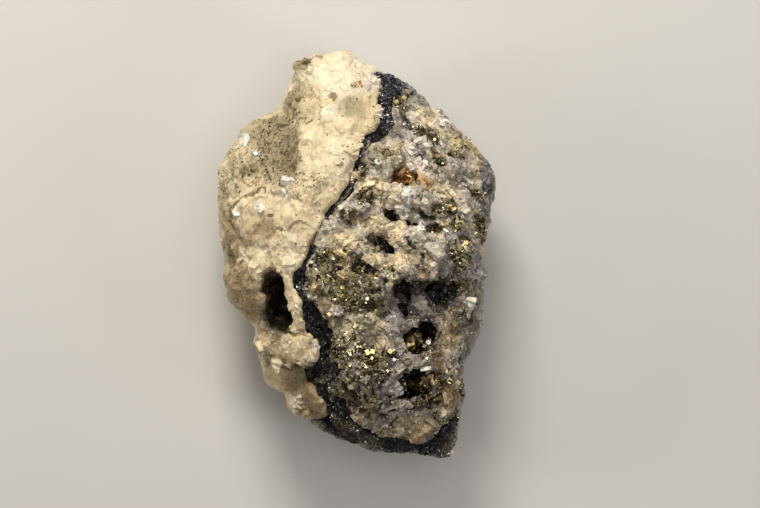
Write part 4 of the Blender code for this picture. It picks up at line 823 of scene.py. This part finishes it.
class Finish:
    """A material with its Principled shader, and the nodes that feed it."""

    def __init__(self, name, **uniform):
        self.material = bpy.data.materials.new(name)
        self.material.use_nodes = True
        self.tree = self.material.node_tree
        self.shader = self.tree.nodes["Principled BSDF"]
        for socket, value in uniform.items():
            self.shader.inputs[socket.replace("_", " ")].default_value = value
        self.place = self.add("ShaderNodeTexCoord", output="Object")

    def add(self, kind, settings=None, sockets=None, output=0):
        """Adds a node: first its settings, then the values or links of its sockets."""
        node = self.tree.nodes.new(kind)
        for key, value in (settings or {}).items():
            setattr(node, key, value)
        for key, value in (sockets or {}).items():
            self.feed(node.inputs[key], value)
        return Socket(self, node.outputs[output])

    def feed(self, target, value):
        if isinstance(value, Socket):
            self.tree.links.new(value.socket, target)
        elif isinstance(value, tuple) and target.type == "RGBA" and len(value) == 3:
            target.default_value = (*value, 1.0)
        else:
            target.default_value = value

    def set(self, socket, value):
        self.feed(self.shader.inputs[socket], value)

    def noise(self, size_mm, detail=3.0, roughness=0.55):
        sockets = {
            "Vector": self.place,
            "Scale": 1.0 / (size_mm * MM),
            "Detail": detail,
            "Roughness": roughness,
        }
        return self.add("ShaderNodeTexNoise", None, sockets)

    def cells(self, size_mm, output="Color", feature="F1"):
        """Crystal cells: a random colour for each, or another output of theirs."""
        sockets = {"Vector": self.place, "Scale": 1.0 / (size_mm * MM)}
        return self.add("ShaderNodeTexVoronoi", {"feature": feature}, sockets, output)

    def part(self, vector, axis):
        """One of the three numbers of a vector or a colour."""
        return self.add("ShaderNodeSeparateXYZ", None, {0: vector}, axis)

    def mix(self, share, first, second):
        """A mix of two colours: its sockets for colours are numbers 6 and 7, and 2 comes out."""
        sockets = {0: share, 6: first, 7: second}
        return self.add("ShaderNodeMix", {"data_type": "RGBA"}, sockets, 2)

    def painted(self, name, output="Color"):
        """What is kept for the piece's points under this name."""
        return self.add("ShaderNodeAttribute", {"attribute_name": name}, None, output)

    def tilted_normal(self, cells, amount):
        """The surface's normal, tipped a different way in each crystal cell."""
        centred = self.vector("SUBTRACT", {0: cells, 1: (0.5, 0.5, 0.5)})
        scaled = self.vector("SCALE", {0: centred, "Scale": amount})
        normal = self.add("ShaderNodeNewGeometry", output="Normal")
        return self.vector("NORMALIZE", {0: self.vector("ADD", {0: normal, 1: scaled})})

    def vector(self, operation, sockets):
        return self.add("ShaderNodeVectorMath", {"operation": operation}, sockets)

    def bump(self, height, distance_mm, strength, normal=None):
        sockets = {"Height": height, "Distance": distance_mm * MM, "Strength": strength}
        if normal is not None:
            sockets["Normal"] = normal
        return self.add("ShaderNodeBump", None, sockets)


def tint_by(finish, colour, value, darkest, lightest):
    """Multiplies a colour by a grey that runs between two levels."""
    level = value * (lightest - darkest) + darkest
    grey = finish.add("ShaderNodeCombineXYZ", None, {0: level, 1: level, 2: level})
    return finish.vector("MULTIPLY", {0: colour, 1: grey})


def dolomite_finish():
    """Sugary cream grains, slightly translucent, with dark specks where they are sown."""
    finish = Finish(
        "dolomite, sugary cream",
        Subsurface_Weight=0.22,
        Subsurface_Radius=(1.0, 0.72, 0.42),
        Subsurface_Scale=0.0018,
        IOR=1.5,
    )
    grains = finish.cells(1.6)
    small = finish.cells(0.6)
    shade = finish.part(grains, 0) * 0.6 + finish.part(small, 1) * 0.4
    colour = tint_by(finish, finish.painted("stain"), shade, 0.86, 1.08)
    cloud = finish.noise(4.5, 4.0, 0.6)
    colour = finish.mix(cloud.above(0.60, 0.14) * 0.35, colour, (0.48, 0.38, 0.22))
    specks = finish.painted("specks", "Fac")
    smear = finish.noise(1.1, 4.0, 0.7).above(0.56, 0.07)
    colour = finish.mix(smear * specks * 0.6, colour, (0.25, 0.20, 0.105))
    dark = finish.part(finish.cells(0.75), 2).above(0.76, 0.01)
    colour = finish.mix(dark * specks.above(0.35, 0.3) * 0.7, colour, (0.17, 0.13, 0.065))
    finish.set("Base Color", colour)
    finish.set("Roughness", finish.part(small, 0) * 0.4 + 0.26)
    tilted = finish.tilted_normal(finish.mix(0.5, grains, small), 0.7)
    finish.set("Normal", finish.bump(finish.noise(0.5, 3.0, 0.6), 0.12, 0.6, tilted))
    return finish.material


def matrix_finish():
    """Quartz grains between metallic grains of pyrite, each cell a crystal of one or the other."""
    finish = Finish(
        "quartz full of pyrite", IOR=1.52, Subsurface_Weight=0.12, Subsurface_Scale=0.0012
    )
    large = finish.cells(3.0)
    grains = finish.cells(1.2)
    small = finish.cells(0.55)
    crowd = finish.painted("crowd", "Fac")
    chance = finish.part(grains, 0) * 0.5 + finish.part(small, 1) * 0.5
    metal = (crowd - chance).above(0.0, 0.02)
    shade = finish.part(large, 1) * 0.45 + finish.part(grains, 2) * 0.55
    quartz = tint_by(finish, finish.painted("stain"), shade, 0.64, 1.46)
    gap = 1.0 - finish.cells(1.2, "Distance", "DISTANCE_TO_EDGE").above(0.05, 0.05)
    dust = finish.noise(1.8, 4.0, 0.65).above(0.58, 0.08)
    between = finish.noise(0.9, 4.0, 0.7).above(0.59, 0.03)
    dark = dust * (crowd * 0.7 + 0.22) + gap * (crowd * 0.5 + 0.12) + between * 0.5
    quartz = finish.mix(dark, quartz, (0.050, 0.040, 0.022))
    brass = finish.mix(finish.part(small, 0), (0.10, 0.085, 0.045), (0.50, 0.44, 0.28))
    # Painted glints: a few tiny cells are painted white, and made glossier
    painted_glint = finish.part(small, 2).above(0.94, 0.01) * finish.part(large, 0).above(0.5, 0.1)
    finish.set("Base Color", finish.mix(painted_glint * 0.65, finish.mix(metal, quartz, brass), GLINT_WHITE))
    finish.set("Metallic", metal * 0.9)
    dull = finish.part(grains, 0) * 0.36 + 0.16
    finish.set("Roughness", dull * (1.0 - painted_glint * 0.7))
    facing = finish.mix(0.5, finish.mix(0.5, large, grains), small)
    tilted = finish.tilted_normal(facing, crowd * 0.5 + 1.05)
    finish.set("Normal", finish.bump(finish.noise(0.4, 3.0, 0.6), 0.06, 0.5, tilted))
    return finish.material


def seam_finish():
    """Blue-black sulphide in fine grains that glitter, with pale dust where it is painted."""
    finish = Finish("sulphide, blue-black", Specular_IOR_Level=0.3)
    grains = finish.cells(0.6)
    fine = finish.cells(0.42)
    stain = finish.painted("stain")
    pale = finish.part(stain, 0).above(0.022, 0.008)
    glitter = finish.part(fine, 0).above(0.93 - pale * 0.13, 0.01)
    base = tint_by(finish, stain, finish.part(grains, 1), 0.3, 1.7)
    glint = glitter * (pale * 0.5 + 0.35)
    finish.set("Base Color", finish.mix(glint, base, (0.42, 0.43, 0.50)))
    finish.set("Metallic", glint * 1.05)
    finish.set("Roughness", 0.62 - glitter * 0.42)
    tilted = finish.tilted_normal(finish.mix(0.5, grains, fine), 1.5)
    finish.set("Normal", finish.bump(finish.noise(0.3, 3.0, 0.6), 0.1, 0.5, tilted))
    return finish.material


def pyrite_finish(name):
    """Metallic crystals, a little tarnished, in one of the tones of PYRITE_TONES."""
    dark, bright, roughness, metallic = PYRITE_TONES[name]
    finish = Finish(name, Metallic=metallic)
    tone = finish.noise(1.8, 2.0)
    finish.set("Base Color", finish.mix(tone.above(0.5, 0.22), dark, bright))
    finish.set("Roughness", tone * 0.25 + roughness)
    finish.set("Normal", finish.bump(finish.noise(0.25, 2.0), 0.03, 0.5))
    return finish.material


def milk_quartz_finish():
    """Milky crystals, glassy on their faces."""
    finish = Finish(
        "quartz, milk white", IOR=1.55, Subsurface_Weight=0.25, Subsurface_Scale=0.001
    )
    haze = finish.noise(1.2)
    dull = tuple(0.7 * part for part in MILK_WHITE)
    finish.set("Base Color", finish.mix(haze.above(0.5, 0.2), dull, MILK_WHITE))
    finish.set("Roughness", haze * 0.25 + 0.25)
    finish.set("Normal", finish.bump(finish.noise(0.4, 2.0), 0.03, 0.4))
    return finish.material


def unit_cube():
    shape = bmesh.new()
    bmesh.ops.create_cube(shape, size=1.0)
    return shape


def bevel(shape, parts, offset, affect):
    """Cuts a shape's corners or edges off flat."""
    bmesh.ops.bevel(
        shape, geom=parts, offset=offset, affect=affect, segments=1, profile=0.5, material=-1
    )


def cube_crystal():
    return crystal_mesh(unit_cube(), "cube")


def bevelled_cube_crystal():
    shape = unit_cube()
    bevel(shape, shape.verts[:], 0.26, "VERTICES")
    return crystal_mesh(shape, "cube with cut corners")


def blade_crystal():
    shape = unit_cube()
    bmesh.ops.scale(shape, verts=shape.verts, vec=(0.42, 0.26, 1.0))
    bevel(shape, shape.edges[:], 0.05, "EDGES")
    return crystal_mesh(shape, "blade")


def random_way(rng):
    """A random vector, each of its parts between -1 and 1."""
    return Vector((rng.uniform(-1, 1), rng.uniform(-1, 1), rng.uniform(-1, 1)))


def shard_crystal(rng, flat=1.0):
    """A broken grain: a block with its sides split off by random flat breaks."""
    shape = unit_cube()
    for _ in range(6):
        aim = random_way(rng).normalized()
        cut = bmesh.ops.bisect_plane(
            shape, geom=shape.verts[:] + shape.edges[:] + shape.faces[:],
            plane_co=aim * rng.uniform(0.30, 0.44), plane_no=aim, clear_outer=True,
        )
        rim = [part for part in cut["geom_cut"] if isinstance(part, bmesh.types.BMEdge)]
        if rim:
            bmesh.ops.contextual_create(shape, geom=rim)
    bmesh.ops.scale(shape, verts=shape.verts, vec=(1.0, rng.uniform(0.6, 1.0), flat))
    return crystal_mesh(shape, "shard")


def crystal_mesh(shape, name):
    """The mesh of a single crystal, with its faces turned outwards."""
    bmesh.ops.recalc_face_normals(shape, faces=shape.faces)
    return mesh_of(shape, name)


class Ground:
    """Finished skins, to grow crystals on, and the colours painted on them."""

    def __init__(self, *skins):
        shape = bmesh.new()
        for skin in skins:
            shape.from_mesh(skin.obj.data)
        self.tree = BVHTree.FromBMesh(shape)
        self.corner = [face.verts[0].index for face in shape.faces]
        shape.free()
        self.colour = np.concatenate([skin.colour for skin in skins])

    def above(self, x, y):
        """The place, normal and colour of the show face at X and Y, in metres."""
        high = Vector((x, y, OVERHEAD_MM * MM))
        place, normal, face, _ = self.tree.ray_cast(high, Vector((0.0, 0.0, -1.0)))
        if place is None:
            return None, None, None
        return place, normal, self.colour[self.corner[face]]

    def clear_of_edge(self, x, y, size):
        """Whether the stone goes on under every side of a crystal at X and Y, all in mm."""
        reach = size * 0.7
        for dx, dy in ((reach, 0.0), (-reach, 0.0), (0.0, reach), (0.0, -reach)):
            place, _, _ = self.above((x + dx) * MM, (y + dy) * MM)
            if place is None or place.z < LOWEST_GRAIN_MM * MM:
                return False
        return True


def grow(name, seeds, kinds, ground, rng, sink, wobble=0.6, stretch=(1.0, 1.0), tint=0.0):
    """Grows a crystal at each seed (x, y and size in mm, and its aim or None) in one mesh.

    The share `sink` of each is in the stone. One without an aim stands on the surface's normal,
    and leans off it by up to `wobble`.
    """
    shape = bmesh.new()
    stains = []
    for x, y, size, aim in seeds:
        place, normal, colour = ground.above(x * MM, y * MM)
        if place is None or not (aim or ground.clear_of_edge(x, y, size)):
            continue
        lean = random_way(rng) * wobble
        stand = (Vector(aim) if aim else normal + lean).normalized()
        turn = stand.to_track_quat("Z", "Y").to_matrix().to_4x4()
        turn = turn @ Matrix.Rotation(rng.uniform(0.0, math.pi), 4, "Z")
        long = rng.uniform(*stretch)
        scale = Matrix.Diagonal((size * MM, size * MM, size * MM * long, 1.0))
        spot = place + normal * size * MM * (0.5 - sink)
        mesh = rng.choice(kinds).copy()
        mesh.transform(Matrix.Translation(spot) @ turn @ scale)
        shape.from_mesh(mesh)
        level = 1.0 + rng.uniform(-tint, tint)
        stains += [np.clip(colour * level, 0.0, 1.0)] * len(mesh.vertices)
        bpy.data.meshes.remove(mesh)
    mesh = mesh_of(shape, name)
    store(mesh, "stain", np.array(stains))
    return new_object(name, mesh)


def placed(table):
    """Seeds of the crystals that are placed one by one."""
    return [(*plan(across, down), size, aim) for across, down, size, aim in table]


def along_edge(line, gap, sizes, aim, rng):
    """Seeds of teeth that stand in a row along a line on the show face, all leaning one way."""
    seeds = []
    for (u0, v0), (u1, v1) in itertools.pairwise(line):
        count = max(int(math.hypot(u1 - u0, v1 - v0) * STEP_MM / gap), 1)
        for step in range(count):
            share = (step + rng.random()) / count
            x, y = plan(u0 + (u1 - u0) * share, v0 + (v1 - v0) * share)
            lean = tuple(part + rng.uniform(-0.4, 0.4) for part in aim)
            seeds.append((x + rng.uniform(-0.5, 0.3), y, rng.uniform(*sizes), lean))
    return seeds


def sown(patches, per_step, sizes, rng):
    """Seeds scattered in patches, as many to a square step as their share asks."""
    seeds = []
    for u, v, half_u, half_v, turn, share in patches:
        count = int(math.pi * half_u * half_v * share * per_step + 0.5)
        angle = math.radians(turn)
        for _ in range(count):
            reach = math.sqrt(rng.random()) * 1.1
            way = rng.uniform(0.0, 2.0 * math.pi)
            along, over = half_u * reach * math.cos(way), half_v * reach * math.sin(way)
            across = u + along * math.cos(angle) + over * math.sin(angle)
            down = v - along * math.sin(angle) + over * math.cos(angle)
            x, y = plan(across, down)
            seeds.append((x, y, sizes[0] + (sizes[1] - sizes[0]) * rng.random() ** 2.2, None))
    return seeds


class StoneSkins:
    """The finished skins that later steps grow crystals on, and their finishes."""

    dolomite = None
    seam = None
    matrix = None
    crusts = []


def make_dolomite(settings):
    """Refines the cream dolomite and paints it."""
    skin = Skin("dolomite_mass", "dolomite_skin", settings.grain, smoothing=4, swell=0.14)
    points = skin.points
    skin.crumble(settings.crag, (0.55, 5.5, 31), (0.38, 2.6, 32), (0.20, 1.2, 33))
    skin.height += 0.25 * soft_noise(points, 7.0, 34)
    skin.carve(DOLOMITE_PITS)
    crack = skin.line(HAIRLINE, 1.6)
    skin.height -= 0.35 * crack
    specks = skin.crowding(DOLOMITE_SPECKS)
    skin.colour[:] = CREAM
    tone = soft_noise(points, 11.0, 35)
    skin.paint(TAN, np.clip(tone - 0.3, 0.0, 1.0) * 0.35)
    skin.paint(BRIGHT_CREAM, np.clip(-tone - 0.2, 0.0, 1.0) * 0.5)
    low = smooth_step((32.0 - points[:, 2]) / 24.0)
    skin.paint(TAN, low * 0.5 * (0.6 + 0.4 * soft_noise(points, 6.0, 36)))
    skin.paint(GREY, np.clip(soft_noise(points, 9.0, 37) - 0.5, 0.0, 1.0) * low * 0.8)
    skin.paint_patches(DOLOMITE_PATCHES)
    # Painted shade: browner and darker where the skin is sunk
    hollow = smooth_step((-skin.height - 0.1) / 0.8)
    skin.paint(BROWN_TAN, hollow * 0.55)
    skin.paint(OLIVE, crack)
    # Painted shade deep in the cavity, under its brim
    deep = smooth_step((CAVITY_BRIM_MM - points[:, 2]) / 7.0)
    for patch in CAVITY:
        inside = patch_mask(skin.across, skin.down, patch, 0.25)
        skin.paint(CAVITY_SHADE, inside * skin.show * deep)
    skin.complete(dolomite_finish(), "dolomite", 32, specks=specks)
    StoneSkins.dolomite = skin


def make_seam(settings):
    """Refines the dark sulphide seam and paints it."""
    skin = Skin("dark_sulphide_seam", "seam_skin", settings.grain, smoothing=2, swell=0.10)
    points = skin.points
    skin.crumble(settings.crag, (0.5, 3.4, 41), (0.35, 1.5, 42))
    skin.colour[:] = SEAM_BLACK
    skin.paint(SEAM_BLUE, smooth_step((points[:, 1] - 22.0) / 16.0) * 0.8)
    skin.paint(SEAM_BROWN, smooth_step((-8.0 - points[:, 1]) / 18.0) * 0.9)
    skin.paint(SEAM_DUST, np.clip(soft_noise(points, 4.0, 43), 0.0, 1.0) * 0.5)
    rim = smooth_step((33.0 - points[:, 2]) / 4.0) * smooth_step((-40.0 - points[:, 1]) / 4.0)
    skin.paint(RIM_BROWN, rim * (0.7 + 0.3 * soft_noise(points, 3.0, 44)))
    skin.paint(PINK_WHITE, skin.patch(SEAM_TIP, 0.5))
    skin.paint_patches(SEAM_PATCHES)
    skin.complete(seam_finish(), "sulphide_seam", 30)
    StoneSkins.seam = skin


def make_matrix(settings):
    """Refines the quartz and pyrite side and paints it."""
    skin = Skin("quartz_pyrite_matrix", "matrix_skin", settings.grain, smoothing=3, swell=0.12)
    points = skin.points
    upper = smooth_step((points[:, 1] + 8.0) / 22.0) * skin.show
    lower = smooth_step((-4.0 - points[:, 1]) / 12.0) * skin.show
    away = 1.0 - skin.show
    skin.crumble(settings.crag, (0.95, 5.4, 51), (0.70, 2.7, 52))
    fine = settings.crag * 0.38 * broken_facets(points, 1.2, 53)
    skin.height += fine * (1.0 - 0.6 * upper)
    skin.carve(MATRIX_PITS)
    crack = np.max([skin.line(corners, 1.5) for corners in MATRIX_CRACKS], axis=0)
    skin.height -= 0.8 * crack
    crowd = skin.crowding(PYRITE_CROWDS)
    crowd = np.maximum(crowd, away * np.clip(soft_noise(points, 7.0, 54) * 0.7, 0.0, 0.7))
    skin.colour[:] = GREY
    # Painted light and shade, partly the quartz's own colours: paler above, browner and darker
    # below, with fewer pale grains below
    skin.paint(PALE_QUARTZ_AND_LIGHT, upper * 0.85)
    skin.paint(LOWER_BROWN_AND_SHADE, lower * 0.85)
    values, _ = cell_values(points, 3.2, 55)
    pale = 1.0 - 0.45 * lower
    skin.paint(PALE_GREY, (values[:, 0] > 0.6) * 0.6 * pale)
    skin.paint(CREAM, (values[:, 1] > 0.72) * 0.55 * pale)
    skin.paint(LILAC, (values[:, 2] > 0.7) * 0.6)
    tone = soft_noise(points, 10.0, 56)
    skin.paint(OCHRE, np.clip(tone - 0.5, 0.0, 1.0) * away * 0.8)
    skin.paint(OLIVE, np.clip(-tone - 0.3, 0.0, 1.0) * away * 0.8)
    skin.paint_patches(MATRIX_PATCHES, HOLLOW_DARKNESS)
    # Painted shade: darker where the skin is sunk
    hollow = smooth_step((-skin.height - 0.15) / 0.8)
    skin.paint(HOLLOW_SHADE, hollow * 0.8)
    # Painted shade along the cracks
    skin.paint(CRACK_SHADE, crack * 0.85)
    # Painted highlight: paler where the skin stands proud
    proud = smooth_step((skin.height - 0.45) / 0.5)
    skin.paint(PALE_GREY, proud * 0.3)
    skin.complete(matrix_finish(), "quartz_pyrite", 30, crowd=crowd * 0.9)
    StoneSkins.matrix = skin


def make_pyrite(settings):
    """Grows pyrite where it crowds the quartz, and in specks on the dolomite."""
    rng = random.Random(settings.seed)
    ground = Ground(StoneSkins.matrix)
    kinds = [cube_crystal(), bevelled_cube_crystal(), *(shard_crystal(rng) for _ in range(5))]
    seeds = sown(PYRITE_CROWDS, settings.density, (0.40, 1.35), rng)
    rng.shuffle(seeds)
    bright = len(seeds) // 8
    for name, some, tone, sink in (
        ("pyrite_bright", seeds[:bright], "pyrite, bright brass", 0.40),
        ("pyrite_bronze", seeds[bright:], "pyrite, bronze", 0.45),
    ):
        piece = grow(name, some, kinds, ground, rng, sink, 0.9, (0.7, 1.4))
        finish_piece(piece, pyrite_finish(tone))
    dots = sown(DOLOMITE_SPECKS, settings.density * 0.85, (0.24, 0.60), rng)
    specks = grow("dolomite_specks", dots, kinds, Ground(StoneSkins.dolomite), rng, 0.4)
    finish_piece(specks, pyrite_finish("pyrite specks"))


def make_shards(settings):
    """Broken grains of each mineral, in its own finish, half sunk in its skin."""
    rng = random.Random(settings.seed + 1)
    kinds = [shard_crystal(rng) for _ in range(10)]
    plates = [shard_crystal(rng, 0.35) for _ in range(8)]
    dense = settings.density
    blocks = placed(QUARTZ_BLOCKS)
    teeth = along_edge(SEAM_TEETH, 0.65, (0.7, 1.5), (1.0, 0.1, 0.2), rng)
    for name, skin, seeds, slot, shapes, sink, stretch, tint in (
        ("quartz_shards", StoneSkins.matrix, sown(MATRIX_SHARDS, dense * 0.15, (0.8, 2.8), rng),
         "quartz_pyrite", kinds, 0.42, (0.8, 1.5), 0.25),
        ("quartz_blocks", StoneSkins.matrix, blocks, "quartz_pyrite", kinds, 0.60, (1.1, 1.5),
         0.2),
        ("dolomite_shards", StoneSkins.dolomite,
         sown(DOLOMITE_SHARDS, dense * 0.15, (0.9, 3.0), rng), "dolomite", kinds + plates, 0.45,
         (0.8, 1.4), 0.05),
        ("dolomite_teeth", StoneSkins.dolomite, teeth, "dolomite", kinds + plates, 0.30,
         (1.3, 2.4), 0.05),
        ("seam_shards", StoneSkins.seam, sown(SEAM_SHARDS, dense * 0.6, (0.7, 2.2), rng),
         "sulphide_seam", kinds, 0.38, (0.8, 1.3), 0.22),
    ):
        piece = grow(name, seeds, shapes, Ground(skin), rng, sink, 0.9, stretch, tint)
        store(piece.data, "crowd", np.zeros(len(piece.data.vertices)))
        store(piece.data, "specks", np.zeros(len(piece.data.vertices)))
        finish_piece(piece, skin.finish)


def crust_finish(name, metallic):
    """Small crystals that line a hollow, each with its own shade and gloss."""
    finish = Finish(name, Metallic=metallic, IOR=1.55)
    grains = finish.cells(0.9)
    shade = finish.part(grains, 0)
    finish.set("Base Color", tint_by(finish, finish.painted("stain"), shade, 0.4, 1.6))
    finish.set("Roughness", finish.part(grains, 1) * 0.3 + 0.1)
    tilted = finish.tilted_normal(grains, 1.0)
    finish.set("Normal", finish.bump(finish.noise(0.3, 2.0), 0.04, 0.5, tilted))
    return finish.material


def make_crusts(settings):
    """Refines the crystal linings of the hollows, and thins them so that the hollows deepen."""
    for node, (base, metallic, slot) in CRUSTS.items():
        name = node.replace("crust", "lining")
        skin = Skin(node, name, CRUST_GRAIN_MM, smoothing=1, swell=-0.3)
        skin.crumble(settings.crag, (0.8, 1.7, 61), (0.5, 0.9, 62))
        skin.colour[:] = base
        for colour, *patch, strength in CRUST_PATCHES:
            skin.paint(colour, patch_mask(skin.across, skin.down, patch) * strength)
        skin.complete(crust_finish(node.replace("_", " "), metallic), slot, 25)
        StoneSkins.crusts.append(skin)


def make_single_crystals(settings):
    """Places the crystals that stand out one by one."""
    rng = random.Random(settings.seed + 2)
    ground = Ground(StoneSkins.matrix, StoneSkins.dolomite, *StoneSkins.crusts)
    gold = pyrite_finish("pyrite, gold")
    silver = pyrite_finish("pyrite, silvery")
    white = milk_quartz_finish()
    shards = [shard_crystal(rng) for _ in range(6)]
    cubes = [bevelled_cube_crystal(), cube_crystal()]
    for name, table, kinds, material, slot, sink in (
        ("gold_blades", GOLD_BLADES, [blade_crystal()], gold, "pyrite", 0.44),
        ("silver_blades", SILVER_BLADES, [blade_crystal()], silver, "pyrite", 0.44),
        ("gold_cubes", GOLD_CUBES, cubes[1:], gold, "pyrite", 0.38),
        ("silver_cubes", SILVER_CUBES, cubes, silver, "pyrite", 0.38),
        ("white_shards", WHITE_SHARDS, shards, white, "quartz_pyrite", 0.52),
    ):
        piece = grow(name, placed(table), kinds, ground, rng, sink)
        finish_piece(piece, material)


def make_stage(settings):
    """Lays the floor, the light and the camera, which looks straight down."""
    shape = bmesh.new()
    bmesh.ops.create_grid(shape, x_segments=1, y_segments=1, size=3.0)
    floor = new_object("floor", mesh_of(shape, "floor"))
    finish = Finish("pale floor", Roughness=0.85)
    cloud = finish.noise(60.0, 2.0)
    finish.set("Base Color", finish.mix(cloud, (0.62, 0.61, 0.59), (0.66, 0.65, 0.63)))
    floor.data.materials.append(finish.material)

    world = bpy.data.worlds.new("studio")
    bpy.context.scene.world = world
    world.use_nodes = True
    background = world.node_tree.nodes["Background"]
    background.inputs["Color"].default_value = (1.0, 0.97, 0.92, 1.0)
    background.inputs["Strength"].default_value = settings.fill
    for name, place, size, power, colour in (
        ("key", (-0.08, 0.48, 0.48), 0.22, settings.key, (1.0, 0.95, 0.86)),
        ("overhead", (0.14, 0.10, 0.92), 0.55, settings.key * 0.65, (1.0, 0.97, 0.92)),
        ("left", (-0.75, 0.05, 0.45), 0.25, settings.key * 0.36, (1.0, 0.96, 0.90)),
        ("right", (0.65, -0.25, 0.55), 0.16, settings.key * 0.24, (0.92, 0.95, 1.0)),
    ):
        lamp = bpy.data.lights.new(name, "AREA")
        lamp.size = size
        lamp.energy = power
        lamp.color = colour
        obj = new_object(name, lamp)
        obj.location = place
        obj.rotation_euler = Vector(place).to_track_quat("Z", "Y").to_euler()

    camera = bpy.data.cameras.new("camera")
    camera.lens = LENS_MM
    camera.sensor_width = SENSOR_MM
    camera.shift_x = (VIEW_STEPS / 2.0 - VIEW_MIDDLE[0]) / VIEW_STEPS
    seen = new_object("camera", camera)
    width = VIEW_STEPS * STEP_MM * MM
    distance = width * camera.lens / camera.sensor_width
    seen.location = (0.0, 0.0, FRAMED_HEIGHT_MM * MM + distance)
    bpy.context.scene.camera = seen
    view = bpy.context.scene.view_settings
    view.view_transform = "Standard"
    view.look = "None"
    view.exposure = settings.exposure


class SPECIMEN_PG_skin(bpy.types.PropertyGroup):
    grain: bpy.props.FloatProperty(
        name="Grain", description="Width of the skin's faces, in millimetres", default=0.46
    )
    crag: bpy.props.FloatProperty(
        name="Crag", description="How strongly the skin is broken", default=1.0
    )


class SPECIMEN_PG_crystals(bpy.types.PropertyGroup):
    density: bpy.props.FloatProperty(
        name="Density", description="Crystals to a square step where they crowd", default=0.16
    )
    seed: bpy.props.IntProperty(name="Seed", description="Seed of their places", default=7)


class SPECIMEN_PG_stage(bpy.types.PropertyGroup):
    key: bpy.props.FloatProperty(
        name="Key light", description="Power of the key light", default=3.5, unit="POWER"
    )
    fill: bpy.props.FloatProperty(
        name="Fill", description="Strength of the studio's even light", default=0.13
    )
    exposure: bpy.props.FloatProperty(
        name="Exposure", description="Exposure in stops", default=0.0
    )


class SPECIMEN_OT_stage(bpy.types.Operator):
    """Lays the pale floor, the studio light and the camera"""

    bl_idname = "specimen.stage"
    bl_label = "Stage"

    def execute(self, context):
        make_stage(context.scene.specimen_stage)
        return {"FINISHED"}


class SPECIMEN_OT_dolomite(bpy.types.Operator):
    """Refines the cream dolomite"""

    bl_idname = "specimen.dolomite"
    bl_label = "Dolomite"

    def execute(self, context):
        make_dolomite(context.scene.specimen_skin)
        return {"FINISHED"}


class SPECIMEN_OT_seam(bpy.types.Operator):
    """Refines the dark sulphide seam"""

    bl_idname = "specimen.seam"
    bl_label = "Sulphide seam"

    def execute(self, context):
        make_seam(context.scene.specimen_skin)
        return {"FINISHED"}


class SPECIMEN_OT_matrix(bpy.types.Operator):
    """Refines the quartz and pyrite matrix"""

    bl_idname = "specimen.matrix"
    bl_label = "Quartz and pyrite"

    def execute(self, context):
        make_matrix(context.scene.specimen_skin)
        return {"FINISHED"}


class SPECIMEN_OT_crusts(bpy.types.Operator):
    """Finishes the crystal crusts of the hollows"""

    bl_idname = "specimen.crusts"
    bl_label = "Hollow crusts"

    def execute(self, context):
        make_crusts(context.scene.specimen_skin)
        return {"FINISHED"}


class SPECIMEN_OT_pyrite(bpy.types.Operator):
    """Grows pyrite on the matrix"""

    bl_idname = "specimen.pyrite"
    bl_label = "Pyrite"

    def execute(self, context):
        make_pyrite(context.scene.specimen_crystals)
        return {"FINISHED"}


class SPECIMEN_OT_shards(bpy.types.Operator):
    """Scatters broken grains of each mineral over its skin"""

    bl_idname = "specimen.shards"
    bl_label = "Broken grains"

    def execute(self, context):
        make_shards(context.scene.specimen_crystals)
        return {"FINISHED"}


class SPECIMEN_OT_singles(bpy.types.Operator):
    """Places the crystals that stand out"""

    bl_idname = "specimen.singles"
    bl_label = "Single crystals"

    def execute(self, context):
        make_single_crystals(context.scene.specimen_crystals)
        return {"FINISHED"}


OPERATORS = (
    SPECIMEN_OT_stage,
    SPECIMEN_OT_dolomite,
    SPECIMEN_OT_seam,
    SPECIMEN_OT_matrix,
    SPECIMEN_OT_crusts,
    SPECIMEN_OT_pyrite,
    SPECIMEN_OT_shards,
    SPECIMEN_OT_singles,
)


class SPECIMEN_PT_panel(bpy.types.Panel):
    """Lists the steps that dress the stone"""

    bl_idname = "SPECIMEN_PT_panel"
    bl_label = "Specimen"
    bl_space_type = "VIEW_3D"
    bl_region_type = "UI"
    bl_category = "Specimen"

    def draw(self, context):
        for group in ("specimen_stage", "specimen_skin", "specimen_crystals"):
            settings = getattr(context.scene, group)
            for prop in settings.bl_rna.properties:
                if prop.identifier not in ("name", "rna_type"):
                    self.layout.prop(settings, prop.identifier)
        for operator in OPERATORS:
            self.layout.operator(operator.bl_idname)


GROUPS = {
    "specimen_stage": SPECIMEN_PG_stage,
    "specimen_skin": SPECIMEN_PG_skin,
    "specimen_crystals": SPECIMEN_PG_crystals,
}


def register():
    for group in GROUPS.values():
        bpy.utils.register_class(group)
    for name, group in GROUPS.items():
        setattr(bpy.types.Scene, name, bpy.props.PointerProperty(type=group))
    for operator in OPERATORS:
        bpy.utils.register_class(operator)
    bpy.utils.register_class(SPECIMEN_PT_panel)


def unregister():
    bpy.utils.unregister_class(SPECIMEN_PT_panel)
    for operator in reversed(OPERATORS):
        bpy.utils.unregister_class(operator)
    for name in GROUPS:
        delattr(bpy.types.Scene, name)
    for group in reversed(list(GROUPS.values())):
        bpy.utils.unregister_class(group)


def main():
    register()
    for operator in OPERATORS:
        group, name = operator.bl_idname.split(".")
        getattr(getattr(bpy.ops, group), name)()


if __name__ == "__main__":
    main()
